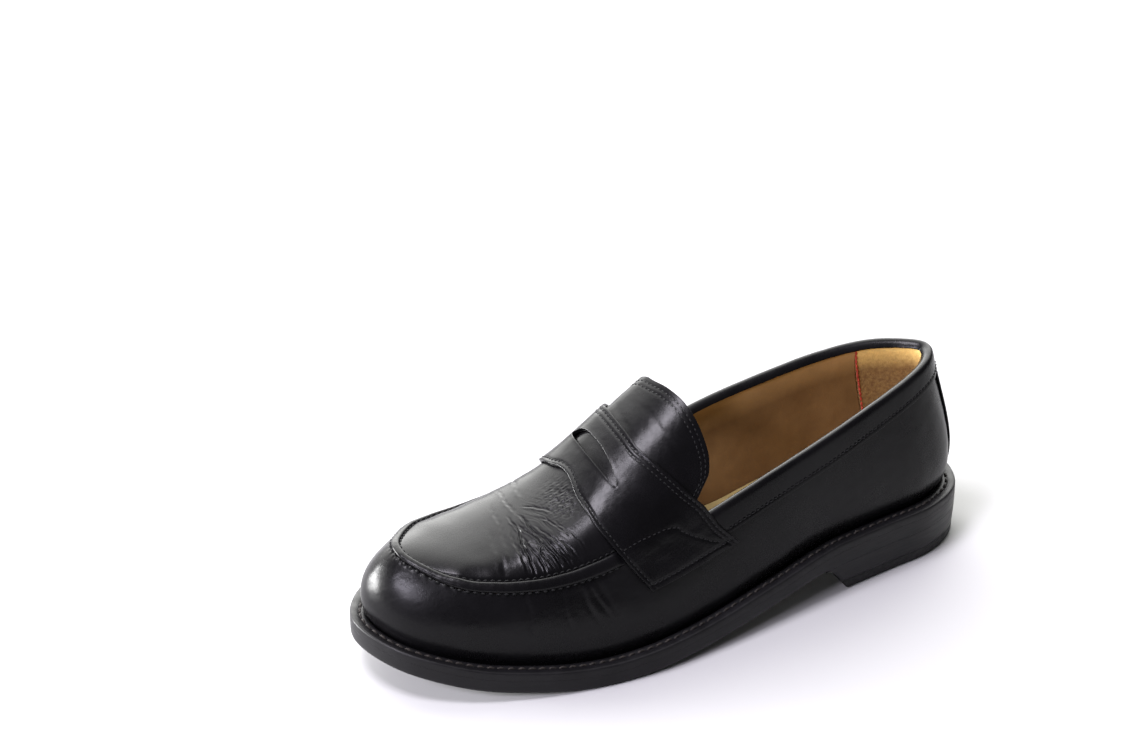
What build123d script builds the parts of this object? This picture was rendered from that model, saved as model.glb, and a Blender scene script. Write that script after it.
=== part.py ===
from build123d import *
import os
import numpy as np

# Penny loafer, left shoe, modelled in millimetres.
# Row frame: +Z up from the floor, toe towards -Y, lateral (outer) side towards +X,
# origin on the floor under the middle of the sole.
# Most shapes are described in shoe coordinates: x across (lateral positive), s the distance
# from the back of the heel towards the toe, z the height above the floor.

os.makedirs("parts", exist_ok=True)

# ---------------------------------------------------------------- driving dimensions
SOLE_LENGTH = 278.0
OUTSOLE_THICKNESS = 6.4
WELT_THICKNESS = 3.5
WELT_WIDTH = 7.0
CEMENT_GAP = 0.2
EDGE_THICKNESS = OUTSOLE_THICKNESS + CEMENT_GAP + WELT_THICKNESS
HEEL_SEAT = 14.6
TOE_SPRING = 15.4
TOP_LIFT_HEIGHT = 5.0
HEEL_BREAST_TOP = 81.0
HEEL_BREAST_BOTTOM = 69.2

LEATHER = 1.3
BACKER_OUT = 1.5
BACKER_IN = 2.3
LINING_OUT = 2.5
LINING_IN = 3.4
OVERLAY_OUT = 1.2

SEAM_ROLL_WIDTH = 2.8
SEAM_ROLL_HEIGHT = 1.3
COLLAR_DEPTH = 13.0
COLLAR_HEEL_DEPTH = 10.4
COLLAR_TURN = 3.0
COLLAR_THICKNESS = 1.0
COLLAR_INNER_LEG = 0.8
OVERLAY_IN = 0.2
BACK_STRIP_WIDTH = 14.0
STRAP_LIFT = 0.6
STRAP_THICKNESS = 1.4
TAB_DEPTH = 1.4
WELT_STITCH_PITCH = 4.2
MOC_STITCH_PITCH = 5.0
FINE_STITCH_PITCH = 2.8
FINE_THREAD = 0.35
MOC_THREAD = 0.55

# Height of the underside of the sole above the floor, from heel to toe.
PROFILE_S = [0, 70, 110, 150, 190, 230, SOLE_LENGTH]
PROFILE_Z = [HEEL_SEAT, HEEL_SEAT, 0.62 * HEEL_SEAT, 0.2 * HEEL_SEAT, 0, 0.25 * TOE_SPRING, TOE_SPRING]

# Stations round the shoe, from the back of the heel along the lateral side to the toe and back
# along the medial side: sole edge (x, s), top edge of the upper's wall (x, s, z), and the handles
# of the wall's curve (out and up from the welt, out and down from the top edge).
STATIONS = [
    ((0, 0), (-4, 11.5, 84.5), (9, 12, 5, 22)),
    ((18, 6.5), (6, 17.5, 84), (8, 13, 5, 21)),
    ((28.5, 24), (13.5, 31.5, 82.2), (6, 13, 5.5, 18)),
    ((32.5, 48), (20.3, 52, 79), (5, 13, 5, 16)),
    ((37, 76), (26, 77, 73.5), (4, 13, 4, 15)),
    ((43, 106), (31, 106, 67), (4, 13, 4, 14)),
    ((48.7, 136), (34, 136, 58.5), (4, 12, 4, 12)),
    ((52.5, 166), (37, 166, 50), (4, 12, 4, 11)),
    ((51, 195), (38, 194, 45.5), (4, 12, 4, 10)),
    ((45.5, 222), (33.5, 218, 44), (4, 12, 5, 9)),
    ((35.5, 249), (23.5, 242, 46.5), (4, 12, 6, 8)),
    ((20, 269.5), (8, 256.5, 52), (5, 12, 9, 8)),
    ((-2.5, SOLE_LENGTH), (-3, 259.5, 54), (6, 12, 10, 7)),
    ((-23, 269), (-13.5, 254.5, 52), (6.5, 12, 9, 8)),
    ((-39, 250), (-26, 241, 47), (5, 12, 7, 8)),
    ((-46.5, 222), (-31, 217, 44.5), (4, 12, 5, 9)),
    ((-45, 195), (-31, 194, 46), (4, 12, 4, 10)),
    ((-38, 166), (-30, 166, 50), (4, 12, 4, 11)),
    ((-30.5, 136), (-30, 136, 58.5), (4, 12, 4, 12)),
    ((-28.5, 106), (-31, 106, 67), (4, 13, 4, 14)),
    ((-31.5, 76), (-29.5, 77, 73.5), (4, 13, 4, 15)),
    ((-33.5, 48), (-27, 52, 78.5), (5, 13, 4, 16)),
    ((-30, 20), (-21.5, 32, 82.2), (6, 13, 4, 18)),
    ((-19, 5.5), (-12.5, 17.5, 84), (8, 12, 4.5, 20)),
]
LAPS = len(STATIONS)
TOE_STATION = 12
SOLE_EDGE = np.array([station[0] for station in STATIONS], float)
TOP_EDGE = np.array([station[1] for station in STATIONS], float)
HANDLES = np.array([station[2] for station in STATIONS], float)

# Crest of the instep and of the apron, from the tongue's tip to the toe.
CREST_S = [120, 130, 140, 150, 160, 170, 180, 190, 200, 215, 235, 255]
CREST_X = [-12, -12, -11.5, -11, -10, -8.5, -7, -5.5, -4, -3, -2, -2]
CREST_Z = [111, 105, 99, 92.5, 86, 79, 72, 66, 62, 57.5, 54.5, 54]

# Strap, tongue and slot edges: distance s from the heel at positions q across the instep.
# q is 0 at the crest, 1 at the wall's top edge, and beyond 1 it runs down the wall.
STRAP_CENTRE = 0.09
STRAP_Q = [0, 0.24, 0.47, 0.76, 0.96, 1.15, TAB_DEPTH]
STRAP_REAR_S = [159.2, 158.4, 154.0, 145.4, 137.7, 134.0, 125.7]
STRAP_FRONT_S = [183.4, 185.6, 185.0, 181.2, 177.0, 173.2, 167.5]
SLOT_HALF_WIDTH = 0.36
SLOT_S = 171.4
SLOT_REAR_BULGE = 2.9
SLOT_FRONT_BULGE = 2.6
TONGUE_Q = [-0.91, -0.86, -0.78, -0.65, -0.4, -0.2, 0, 0.16, 0.35, 0.55, 0.7, 0.8, 0.86, 0.91]
TONGUE_TIP_S = [143.5, 141.4, 139.4, 138.8, 140.6, 141.9, 141.2, 138.4, 135.2, 133.0, 132.2, 133.6, 137.9, 142.0]
APRON_REAR_S = 175.8
TONGUE_FRONT_S = 175.4
SEAM_ROLL_END_S = 179.6

UP = np.array([0.0, 0.0, 1.0])
ORIGIN_X = (52.55 - 46.85) / 2
ORIGIN_S = SOLE_LENGTH / 2


# ---------------------------------------------------------------- curves and surfaces
def loop(table, u):
    """Smooth closed curve through the rows of a station table."""
    u = np.asarray(u, float) % LAPS
    first = np.floor(u).astype(int)
    t = (u - first)[..., None]
    a, b, c, d = [table[(first + k) % LAPS] for k in (-1, 0, 1, 2)]
    return 0.5 * (2 * b + (c - a) * t + (2 * a - 5 * b + 4 * c - d) * t**2 + (3 * b - a - 3 * c + d) * t**3)


def smooth(knots, values, x):
    """Cubic through the knots that never overshoots them: level at each highest or lowest knot."""
    knots = np.array(knots, float)
    values = np.array(values, float)
    x = np.asarray(x, float)
    width = np.diff(knots)
    slope = np.diff(values) / width
    before, after = slope[:-1], slope[1:]
    same_way = before * after > 0
    level = np.where(same_way, 2 * before * after / np.where(same_way, before + after, 1), 0)
    tangent = np.concatenate([slope[:1], level, slope[-1:]])
    i = np.clip(np.searchsorted(knots, x) - 1, 0, len(width) - 1)
    t = (x - knots[i]) / width[i]
    start = values[i] * (1 + 2 * t) * (1 - t) ** 2 + tangent[i] * width[i] * t * (1 - t) ** 2
    end = values[i + 1] * t**2 * (3 - 2 * t) + tangent[i + 1] * width[i] * t**2 * (t - 1)
    return start + end


def smooth_even(knots, values, x):
    """The same for a curve that is symmetric about its first knot, at zero."""
    left = [-knot for knot in knots[:0:-1]]
    return smooth(left + list(knots), values[:0:-1] + list(values), x)


def bezier(a, b, c, d, t):
    w = 1 - t
    return w**3 * a + 3 * w * w * t * b + 3 * w * t * t * c + t**3 * d


def sole_bottom(s):
    """Underside of the sole: flat heel seat, arch, ball on the floor, toe spring."""
    return smooth(PROFILE_S, PROFILE_Z, s)


def edge_normal(u):
    """Outward plan normal of the sole edge, as a 3-D vector."""
    step = 1e-3
    along = loop(SOLE_EDGE, u + step) - loop(SOLE_EDGE, u - step)
    normal = np.stack([along[..., 1], -along[..., 0], 0 * along[..., 0]], -1)
    return normal / np.linalg.norm(normal, axis=-1, keepdims=True)


def sole_line(u, inset, height):
    """Line on the sole, inset from its edge, at a height above its underside."""
    u = np.asarray(u, float)
    point = loop(SOLE_EDGE, u) - inset * edge_normal(u)[..., :2]
    z = sole_bottom(point[..., 1]) + height
    return np.concatenate([point, z[..., None]], -1)


def wall(u, v):
    """Outer face of the upper's wall: u counts stations, v runs from the welt to the top edge."""
    u, v = np.broadcast_arrays(np.asarray(u, float), np.asarray(v, float))
    base = sole_line(u, WELT_WIDTH, EDGE_THICKNESS)
    top = loop(TOP_EDGE, u)
    handle = loop(HANDLES, u)
    out = edge_normal(u)
    low = base + out * handle[..., 0:1] + UP * handle[..., 1:2]
    high = top + out * handle[..., 2:3] - UP * handle[..., 3:4]
    return bezier(base, low, high, top, v[..., None])


def station_at(s, side):
    """Station number where the top edge passes s, on the lateral (1) or medial (-1) side."""
    numbers = np.linspace(0, TOE_STATION, 600) if side > 0 else np.linspace(LAPS, TOE_STATION, 600)
    return np.interp(s, loop(TOP_EDGE, numbers)[..., 1], numbers)


def instep(s, q):
    """Outer face over the instep: q is 1 at the lateral top edge, 0 at the crest, -1 medial."""
    s, q = np.broadcast_arrays(np.asarray(s, float), np.asarray(q, float))
    crest = np.stack([smooth(CREST_S, CREST_X, s), s, smooth(CREST_S, CREST_Z, s)], -1)
    points = crest.copy()
    for side in (1, -1):
        u = station_at(s, side)
        edge = loop(TOP_EDGE, u)
        handle = loop(HANDLES, u)
        lean = UP * handle[..., 3:4] - edge_normal(u) * handle[..., 2:3]
        lean = lean / np.linalg.norm(lean, axis=-1, keepdims=True)
        rise = crest[..., 2:3] - edge[..., 2:3]
        reach = np.abs(crest[..., 0:1] - edge[..., 0:1])
        low = edge + lean * rise * 0.6
        high = crest + np.array([side, 0, 0]) * reach * 0.55
        half = bezier(edge, low, high, crest, 1 - np.abs(q)[..., None])
        points = np.where((q * side > 0)[..., None], half, points)
    return points


def saddle(s, q):
    """Instep surface carried on down both walls for |q| above 1."""
    s, q = np.broadcast_arrays(np.asarray(s, float), np.asarray(q, float))
    points = instep(s, np.clip(q, -1, 1))
    for side in (1, -1):
        down = wall(station_at(s, side), np.clip(2 - np.abs(q), 0, 1))
        points = np.where((q * side > 1)[..., None], down, points)
    return points


def plate(points):
    """Thin-plate surface z(x, s) through points, returned as a function."""
    points = np.asarray(points, float)
    plan = points[:, :2]

    def kernel(a, b):
        r2 = ((a[..., None, :] - b) ** 2).sum(-1)
        return r2 * np.log(r2 + 1e-9)

    count = len(plan)
    flat = np.column_stack([np.ones(count), plan])
    system = np.zeros((count + 3, count + 3))
    system[:count, :count] = kernel(plan, plan)
    system[:count, count:] = flat
    system[count:, :count] = flat.T
    weights = np.linalg.solve(system, np.concatenate([points[:, 2], np.zeros(3)]))

    def height(x, s):
        at = np.stack([x, s], -1)
        plane = weights[count] + weights[count + 1] * x + weights[count + 2] * s
        return kernel(at, plan) @ weights[:count] + plane

    return height


seam_numbers = np.linspace(station_at(APRON_REAR_S - 6, 1), station_at(APRON_REAR_S - 6, -1), 36)
crossing_s, crossing_q = np.meshgrid([168, 180, 192, 205, 218, 230, 242], [-0.7, -0.35, 0, 0.35, 0.7])
apron_height = plate(np.concatenate([
    loop(TOP_EDGE, seam_numbers),
    instep(crossing_s, crossing_q).reshape(-1, 3),
]))


def apron_face(x, s):
    """Outer face of the apron as a height over the plan."""
    x, s = np.broadcast_arrays(np.asarray(x, float), np.asarray(s, float))
    return np.stack([x, s, apron_height(x, s)], -1)


def seam_point(u, inset):
    """Point on the apron, inset in plan from the wall's top edge."""
    step = 1e-3
    edge = loop(TOP_EDGE, u)[..., :2]
    along = (loop(TOP_EDGE, u + step) - loop(TOP_EDGE, u - step))[..., :2]
    inward = np.stack([-along[..., 1], along[..., 0]], -1)
    inward = inward / np.linalg.norm(inward, axis=-1, keepdims=True)
    point = edge + inward * np.asarray(inset, float)[..., None]
    return apron_face(point[..., 0], point[..., 1])


def normals(surface, a, b, step_a, step_b, outward):
    """Unit normals of a surface, turned to the side that outward (+1 or -1) says."""
    across = surface(a + step_a, b) - surface(a - step_a, b)
    along = surface(a, b + step_b) - surface(a, b - step_b)
    normal = np.cross(across, along) * outward
    return normal / np.linalg.norm(normal, axis=-1, keepdims=True)


def wall_offset(u, v, lift):
    """Point at a distance outside (+) or inside (-) the wall's outer face."""
    u, v = np.broadcast_arrays(np.asarray(u, float), np.asarray(v, float))
    lift = np.asarray(lift, float)[..., None]
    return wall(u, v) + lift * normals(wall, u, v, 0.02, 0.01, 1)


def saddle_offset(s, q, lift):
    """Point at a distance outside (+) or inside (-) the instep's outer face."""
    s, q = np.broadcast_arrays(np.asarray(s, float), np.asarray(q, float))
    lift = np.asarray(lift, float)[..., None]
    return saddle(s, q) + lift * normals(saddle, s, q, 0.5, 0.02, -1)


def apron_offset(x, s, lift):
    x, s = np.broadcast_arrays(np.asarray(x, float), np.asarray(s, float))
    return apron_face(x, s) + lift * normals(apron_face, x, s, 0.2, 0.2, 1)


def depth_to_v(u, depth):
    """Wall parameter v at a distance measured down the wall from its top edge."""
    u, depth = np.broadcast_arrays(np.asarray(u, float), np.asarray(depth, float))
    samples = np.linspace(1, 0, 41)
    line = wall(u[..., None], samples)
    run = np.concatenate(
        [np.zeros(u.shape + (1,)), np.cumsum(np.linalg.norm(np.diff(line, axis=-2), axis=-1), axis=-1)], -1
    )
    flat_run = run.reshape(-1, len(samples))
    found = [np.interp(d, row, samples) for d, row in zip(depth.ravel(), flat_run)]
    return np.array(found).reshape(u.shape)


def to_row(points):
    """Shoe coordinates (x, s, z) to the row frame."""
    points = np.asarray(points, float)
    return np.stack([points[..., 0] - ORIGIN_X, ORIGIN_S - points[..., 1], points[..., 2]], -1)


# ---------------------------------------------------------------- solids from surfaces
def closed_sheet(outer, inner):
    """Closed solid between two grids of points, joined round their four sides."""
    faces = []
    for grid in (outer, inner):
        rows = [[Vector(*point) for point in row] for row in to_row(grid)]
        faces.append(Face.make_surface_from_array_of_points(rows, tol=0.02, min_deg=3, max_deg=3))
    sides = [Face.make_surface_from_curves(a, b) for a, b in zip(faces[0].edges(), faces[1].edges())]
    return Solid(Shell(faces + sides))


def grid(first, second):
    return np.meshgrid(first, second, indexing="ij")


def wall_layer(start, end, bottom, top_depth, outside, inside, rows=7):
    """Layer of the wall from station start to end, from v bottom up to a depth under the top."""
    u, part = grid(np.linspace(start, end, int(abs(end - start) * 5) + 4), np.linspace(0, 1, rows))
    top = depth_to_v(u, top_depth(u) if callable(top_depth) else top_depth)
    v = bottom + (top - bottom) * part
    return closed_sheet(wall_offset(u, v, outside + 0 * v), wall_offset(u, v, inside + 0 * v))


def saddle_layer(front, rear, half_width, outside, inside, columns=29, rows=7):
    """Layer over the instep between two edge curves front(q) and rear(q)."""
    q, part = grid(np.linspace(-half_width, half_width, columns), np.linspace(0, 1, rows))
    s = rear(q) + (front(q) - rear(q)) * part
    return closed_sheet(saddle_offset(s, q, outside + 0 * s), saddle_offset(s, q, inside + 0 * s))


def stitch_planes(centres, pitch):
    """Planes along a line of points, one for each stitch, with z along the line."""
    path = to_row(centres)
    run = np.concatenate([[0], np.cumsum(np.linalg.norm(np.diff(path, axis=0), axis=1))])
    count = int(run[-1] / pitch)
    middles = (np.arange(count) + 0.5) * run[-1] / count
    reach = pitch * 0.3
    planes = []
    for middle in middles:
        before = [np.interp(middle - reach, run, path[:, k]) for k in range(3)]
        after = [np.interp(middle + reach, run, path[:, k]) for k in range(3)]
        centre = [(a + b) / 2 for a, b in zip(before, after)]
        along = [b - a for a, b in zip(before, after)]
        planes.append(Plane(origin=tuple(centre), z_dir=tuple(along)))
    return planes


def from_strap_centre(q):
    """Position across the strap, counted from its own middle, which lies off the crest."""
    return q - STRAP_CENTRE * (1 - np.abs(q) / TAB_DEPTH)


def strap_rear(q):
    return smooth_even(STRAP_Q, STRAP_REAR_S, from_strap_centre(q))


def strap_front(q):
    return smooth_even(STRAP_Q, STRAP_FRONT_S, from_strap_centre(q))


def tongue_front(q):
    return TONGUE_FRONT_S + 0 * q


def tongue_tip(q):
    return smooth(TONGUE_Q, TONGUE_TIP_S, q)


def outline(inset, count=48):
    """Closed plan outline of the sole, inset from its edge."""
    numbers = np.arange(count) * LAPS / count
    points = to_row(sole_line(numbers, inset, 0))
    return [(x, y) for x, y, z in points]


REACH = 90.0
TALL = 130.0


def sole_layer(low, high):
    """Slab that follows the sole's underside, between two heights above it."""
    s = np.linspace(-6, SOLE_LENGTH + 6, 30)
    bottom = sole_bottom(np.clip(s, 0, SOLE_LENGTH))
    lower = [(ORIGIN_S - a, b + low) for a, b in zip(s, bottom)]
    upper = [(ORIGIN_S - a, b + high) for a, b in zip(s, bottom)]
    with BuildPart() as slab:
        with BuildSketch(Plane.YZ):
            with BuildLine():
                Spline(*lower)
                Line(lower[-1], upper[-1])
                Spline(*upper)
                Line(upper[0], lower[0])
            make_face()
        extrude(amount=REACH, both=True)
    return slab.part


def sole_plan(inset):
    """Plan face of the sole, inset from its edge."""
    with BuildSketch() as plan:
        with BuildLine():
            Spline(*outline(inset), periodic=True)
        make_face()
    return plan.sketch


# ---------------------------------------------------------------- sole unit
NAIL_RADIUS = 1.1
NAIL_CLEARANCE = 0.1
NAIL_BOTTOM = 7.0
NAIL_TOP = HEEL_SEAT + OUTSOLE_THICKNESS - 0.4
NAIL_PLACES = [(-14, 16), (10, 17), (-20, 36), (18, 36), (-20, 58), (20, 58)]
nail_locations = [Location((x - ORIGIN_X, ORIGIN_S - s, NAIL_BOTTOM)) for x, s in NAIL_PLACES]

with BuildPart() as outsole:
    add(sole_layer(0, OUTSOLE_THICKNESS))
    with BuildSketch(Plane.XY.offset(-1)):
        add(sole_plan(0))
    extrude(amount=TALL, mode=Mode.INTERSECT)
    with Locations(*nail_locations):
        Cylinder(
            NAIL_RADIUS + NAIL_CLEARANCE,
            TALL,
            align=(Align.CENTER, Align.CENTER, Align.MIN),
            mode=Mode.SUBTRACT,
        )
outsole.part.label = "outsole"
export_step(outsole.part, "parts/outsole.step")

WELT_LOW = OUTSOLE_THICKNESS + CEMENT_GAP
with BuildPart() as welt:
    add(sole_layer(WELT_LOW, EDGE_THICKNESS))
    with BuildSketch(Plane.XY.offset(-1)):
        add(sole_plan(0.4))
        add(sole_plan(WELT_WIDTH - 0.3), mode=Mode.SUBTRACT)
    extrude(amount=TALL, mode=Mode.INTERSECT)
welt.part.label = "welt"
export_step(welt.part, "parts/welt.step")

breast = [
    (ORIGIN_S - HEEL_BREAST_BOTTOM, -1),
    (ORIGIN_S - HEEL_BREAST_BOTTOM - 2.4, 3),
    (ORIGIN_S - HEEL_BREAST_BOTTOM - 6.0, 9),
    (ORIGIN_S - HEEL_BREAST_TOP, HEEL_SEAT),
]
with BuildPart() as heel_block:
    with BuildSketch(Plane.YZ):
        with BuildLine():
            Spline(*breast)
            Polyline(breast[-1], (ORIGIN_S + 6, HEEL_SEAT), (ORIGIN_S + 6, -1), breast[0])
        make_face()
    extrude(amount=REACH, both=True)
    with BuildSketch(Plane.XY.offset(-1)):
        add(sole_plan(0.2))
    extrude(amount=TALL, mode=Mode.INTERSECT)
    add(sole_layer(-CEMENT_GAP, 40), mode=Mode.SUBTRACT)

with BuildPart() as heel_stack:
    add(heel_block.part)
    split(bisect_by=Plane.XY.offset(TOP_LIFT_HEIGHT + CEMENT_GAP), keep=Keep.TOP)
    with Locations(*nail_locations):
        Cylinder(
            NAIL_RADIUS + NAIL_CLEARANCE,
            TALL,
            align=(Align.CENTER, Align.CENTER, Align.MIN),
            mode=Mode.SUBTRACT,
        )
heel_stack.part.label = "heel_stack"
export_step(heel_stack.part, "parts/heel_stack.step")

with BuildPart() as top_lift:
    add(heel_block.part)
    split(bisect_by=Plane.XY.offset(TOP_LIFT_HEIGHT), keep=Keep.BOTTOM)
    split(bisect_by=Plane.XY, keep=Keep.TOP)
top_lift.part.label = "top_lift"
export_step(top_lift.part, "parts/top_lift.step")

with BuildPart() as heel_nails:
    with Locations(*nail_locations):
        Cylinder(NAIL_RADIUS, NAIL_TOP - NAIL_BOTTOM, align=(Align.CENTER, Align.CENTER, Align.MIN))
heel_nails.part.label = "heel_nails"
export_step(heel_nails.part, "parts/heel_nails.step")

SHANK_WIDTH = 14.0
SHANK_START = 52.0
SHANK_END = 168.0
SHANK_MIDDLE_X = 3.0
CORK_THICKNESS = 2.0
CORK_INSET = 12.0
INSOLE_THICKNESS = 2.0
SOCK_THICKNESS = 1.2
INSOLE_INSET = 12.0
SOCK_INSET = 10.6
CORK_TOP = WELT_LOW + CORK_THICKNESS
INSOLE_LOW = CORK_TOP + CEMENT_GAP
SOCK_LOW = INSOLE_LOW + INSOLE_THICKNESS + CEMENT_GAP
shank_place = (SHANK_MIDDLE_X - ORIGIN_X, ORIGIN_S - (SHANK_START + SHANK_END) / 2)

with BuildPart() as cork_filler:
    add(sole_layer(WELT_LOW, CORK_TOP))
    with BuildSketch(Plane.XY.offset(-1)):
        add(sole_plan(CORK_INSET))
        with Locations(shank_place):
            SlotOverall(SHANK_END - SHANK_START + 1, SHANK_WIDTH + 1, rotation=90, mode=Mode.SUBTRACT)
    extrude(amount=TALL, mode=Mode.INTERSECT)
cork_filler.part.label = "cork_filler"
export_step(cork_filler.part, "parts/cork_filler.step")

with BuildPart() as shank:
    add(sole_layer(WELT_LOW, WELT_LOW + 1.2))
    with BuildSketch(Plane.XY.offset(-1)):
        with Locations(shank_place):
            SlotOverall(SHANK_END - SHANK_START, SHANK_WIDTH, rotation=90)
    extrude(amount=TALL, mode=Mode.INTERSECT)
shank.part.label = "shank"
export_step(shank.part, "parts/shank.step")

with BuildPart() as insole_board:
    add(sole_layer(INSOLE_LOW, INSOLE_LOW + INSOLE_THICKNESS))
    with BuildSketch(Plane.XY.offset(-1)):
        add(sole_plan(INSOLE_INSET))
    extrude(amount=TALL, mode=Mode.INTERSECT)
insole_board.part.label = "insole_board"
export_step(insole_board.part, "parts/insole_board.step")

with BuildPart() as sock_liner:
    add(sole_layer(SOCK_LOW, SOCK_LOW + SOCK_THICKNESS))
    with BuildSketch(Plane.XY.offset(-1)):
        add(sole_plan(SOCK_INSET))
    extrude(amount=TALL, mode=Mode.INTERSECT)
sock_liner.part.label = "sock_liner"
export_step(sock_liner.part, "parts/sock_liner.step")

with BuildPart() as welt_stitches:
    line = sole_line(np.linspace(0, LAPS, 900), 3.4, EDGE_THICKNESS + FINE_THREAD + 0.15)
    with Locations(*stitch_planes(line, WELT_STITCH_PITCH)):
        Cylinder(FINE_THREAD + 0.05, WELT_STITCH_PITCH * 0.62)
welt_stitches.part.label = "welt_stitches"
export_step(welt_stitches.part, "parts/welt_stitches.step")


# ---------------------------------------------------------------- upper: outer leathers
LOWEST_V = -0.045
SEAM_DROP = 1.2
STRAP_LATERAL = float(station_at(137.5, 1))


def rim_drop(u):
    """How far the wall's leathers stop below the top line: more under the collar than at the seam."""
    from_heel = np.abs((np.asarray(u, float) + LAPS / 2) % LAPS - LAPS / 2)
    t = np.clip(from_heel - STRAP_LATERAL, 0, 1)
    return COLLAR_TURN + (SEAM_DROP - COLLAR_TURN) * t * t * (3 - 2 * t)


with BuildPart() as upper_wall:
    add(wall_layer(0.03, LAPS - 0.03, LOWEST_V, rim_drop, 0, -LEATHER))
upper_wall.part.label = "upper_wall"
export_step(upper_wall.part, "parts/upper_wall.step")


def apron_piece(outside, inside, inset, rear):
    """Layer of the apron, cut to a plan outline inset from the seam."""
    x, s = grid(np.linspace(-42, 48, 24), np.linspace(rear - 4, SOLE_LENGTH - 10, 26))
    sheet = closed_sheet(apron_offset(x, s, outside), apron_offset(x, s, inside))
    numbers = np.linspace(station_at(rear, 1), station_at(rear, -1), 40)
    edge = [(x, y) for x, y, z in to_row(seam_point(numbers, inset + 0 * numbers))]
    with BuildPart() as piece:
        add(sheet)
        with BuildSketch(Plane.XY):
            with BuildLine():
                Spline(*edge)
                Line(edge[-1], edge[0])
            make_face()
        extrude(amount=TALL, mode=Mode.INTERSECT)
    return piece.part


with BuildPart() as apron:
    add(apron_piece(0, -LEATHER, 1.8, APRON_REAR_S))
apron.part.label = "apron"
export_step(apron.part, "parts/apron.step")

with BuildPart() as seam_roll:
    u, part = grid(
        np.linspace(station_at(SEAM_ROLL_END_S, 1), station_at(SEAM_ROLL_END_S, -1), 60),
        np.linspace(0, 1, 7),
    )
    crown = SEAM_ROLL_HEIGHT * np.sin(np.pi * part) ** 0.8
    base = seam_point(u, 0.2 + SEAM_ROLL_WIDTH * part)
    add(closed_sheet(base + UP * (0.7 + crown)[..., None], base + UP * 0.25))
seam_roll.part.label = "seam_roll"
export_step(seam_roll.part, "parts/seam_roll.step")

TONGUE_HALF = 0.91
with BuildPart() as tongue:
    add(saddle_layer(tongue_front, tongue_tip, TONGUE_HALF, 0, -LEATHER, rows=12))
tongue.part.label = "tongue"
export_step(tongue.part, "parts/tongue.step")

with BuildPart() as tongue_lining:
    add(saddle_layer(tongue_front, tongue_tip, TONGUE_HALF, -BACKER_OUT, -2.4, rows=12))
tongue_lining.part.label = "tongue_lining"
export_step(tongue_lining.part, "parts/tongue_lining.step")

strap_top = STRAP_LIFT + STRAP_THICKNESS
slot_q = np.linspace(-1, 1, 15)
slot_plan_q = STRAP_CENTRE + SLOT_HALF_WIDTH * slot_q
slot_bulge = (1 - slot_q**2) ** 0.75
slot_rear = to_row(saddle(SLOT_S - SLOT_REAR_BULGE * slot_bulge, slot_plan_q))
slot_front = to_row(saddle(SLOT_S + SLOT_FRONT_BULGE * slot_bulge, slot_plan_q))
with BuildPart() as saddle_strap:
    add(saddle_layer(strap_front, strap_rear, TAB_DEPTH, strap_top, STRAP_LIFT, columns=57))
    with BuildSketch(Plane.XY.offset(40)):
        with BuildLine():
            Spline(*[(x, y) for x, y, z in slot_rear])
            Spline(*[(x, y) for x, y, z in slot_front])
        make_face()
    extrude(amount=TALL, mode=Mode.SUBTRACT)
saddle_strap.part.label = "saddle_strap"
export_step(saddle_strap.part, "parts/saddle_strap.step")


def collar_depth(u):
    """Height of the collar's outside, least at the back of the heel."""
    from_heel = np.abs((np.asarray(u, float) + LAPS / 2) % LAPS - LAPS / 2)
    return COLLAR_HEEL_DEPTH + (COLLAR_DEPTH - COLLAR_HEEL_DEPTH) * np.clip(from_heel / 4, 0, 1) ** 2


def collar_face(u, run, radius):
    """Folded band: run goes 0-1 up the outside, 1-2 round the top line, 2-3 down the inside."""
    below = COLLAR_TURN + (collar_depth(u) - COLLAR_TURN) * np.clip(1 - run, 0, 1)
    v = depth_to_v(u, below + COLLAR_INNER_LEG * np.clip(run - 2, 0, 1))
    out = normals(wall, u, v, 0.02, 0.01, 1)
    rise = wall(u, v + 0.01) - wall(u, v - 0.01)
    rise = rise / np.linalg.norm(rise, axis=-1, keepdims=True)
    turn = np.pi * np.clip(run - 1, 0, 1)[..., None]
    return wall(u, v) - out * LINING_IN / 2 + radius * (out * np.cos(turn) + rise * np.sin(turn))


def collar_end(run, side):
    """Station where the collar stops, just behind the strap's rear edge."""
    depth = COLLAR_TURN + (COLLAR_DEPTH - COLLAR_TURN) * np.clip(1 - run, 0, 1)
    q = np.where(run < 1, 2 - depth_to_v(STRAP_LATERAL + 0 * run, depth), 1.0)
    return station_at(strap_rear(side * q) - 0.8, side)


collar_radius = LINING_IN / 2 + OVERLAY_IN
with BuildPart() as collar:
    run_steps = np.array([0, 0.33, 0.67, 1, 1.17, 1.33, 1.5, 1.67, 1.83, 2, 2.5, 3])
    part, run = grid(np.linspace(0, 1, 70), run_steps)
    first = collar_end(run, -1) - LAPS
    u = first + (collar_end(run, 1) - first) * part
    collar_outside = collar_face(u, run, collar_radius + COLLAR_THICKNESS)
    add(closed_sheet(collar_outside, collar_face(u, run, collar_radius)))
collar.part.label = "collar"
export_step(collar.part, "parts/collar.step")

with BuildPart() as back_strip:
    side, rise = grid(np.linspace(-1, 1, 9), np.linspace(0, 1, 13))
    v = 0.02 + (depth_to_v(0 * rise, 0 * rise + COLLAR_HEEL_DEPTH + 0.5) - 0.02) * rise
    u = side * BACK_STRIP_WIDTH / 2 / (15 - 4 * v)
    add(closed_sheet(wall_offset(u, v, OVERLAY_OUT + 0 * v), wall_offset(u, v, OVERLAY_IN + 0 * v)))
back_strip.part.label = "back_strip"
export_step(back_strip.part, "parts/back_strip.step")


# ---------------------------------------------------------------- upper: stiffeners and linings
COUNTER_END = 3.2
PUFF_START = 9.5
PUFF_END = 14.5
VAMP_START = 7.0
VAMP_END = 17.0
HEEL_LINING_END = 2.2
BUTT = 0.012


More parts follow.
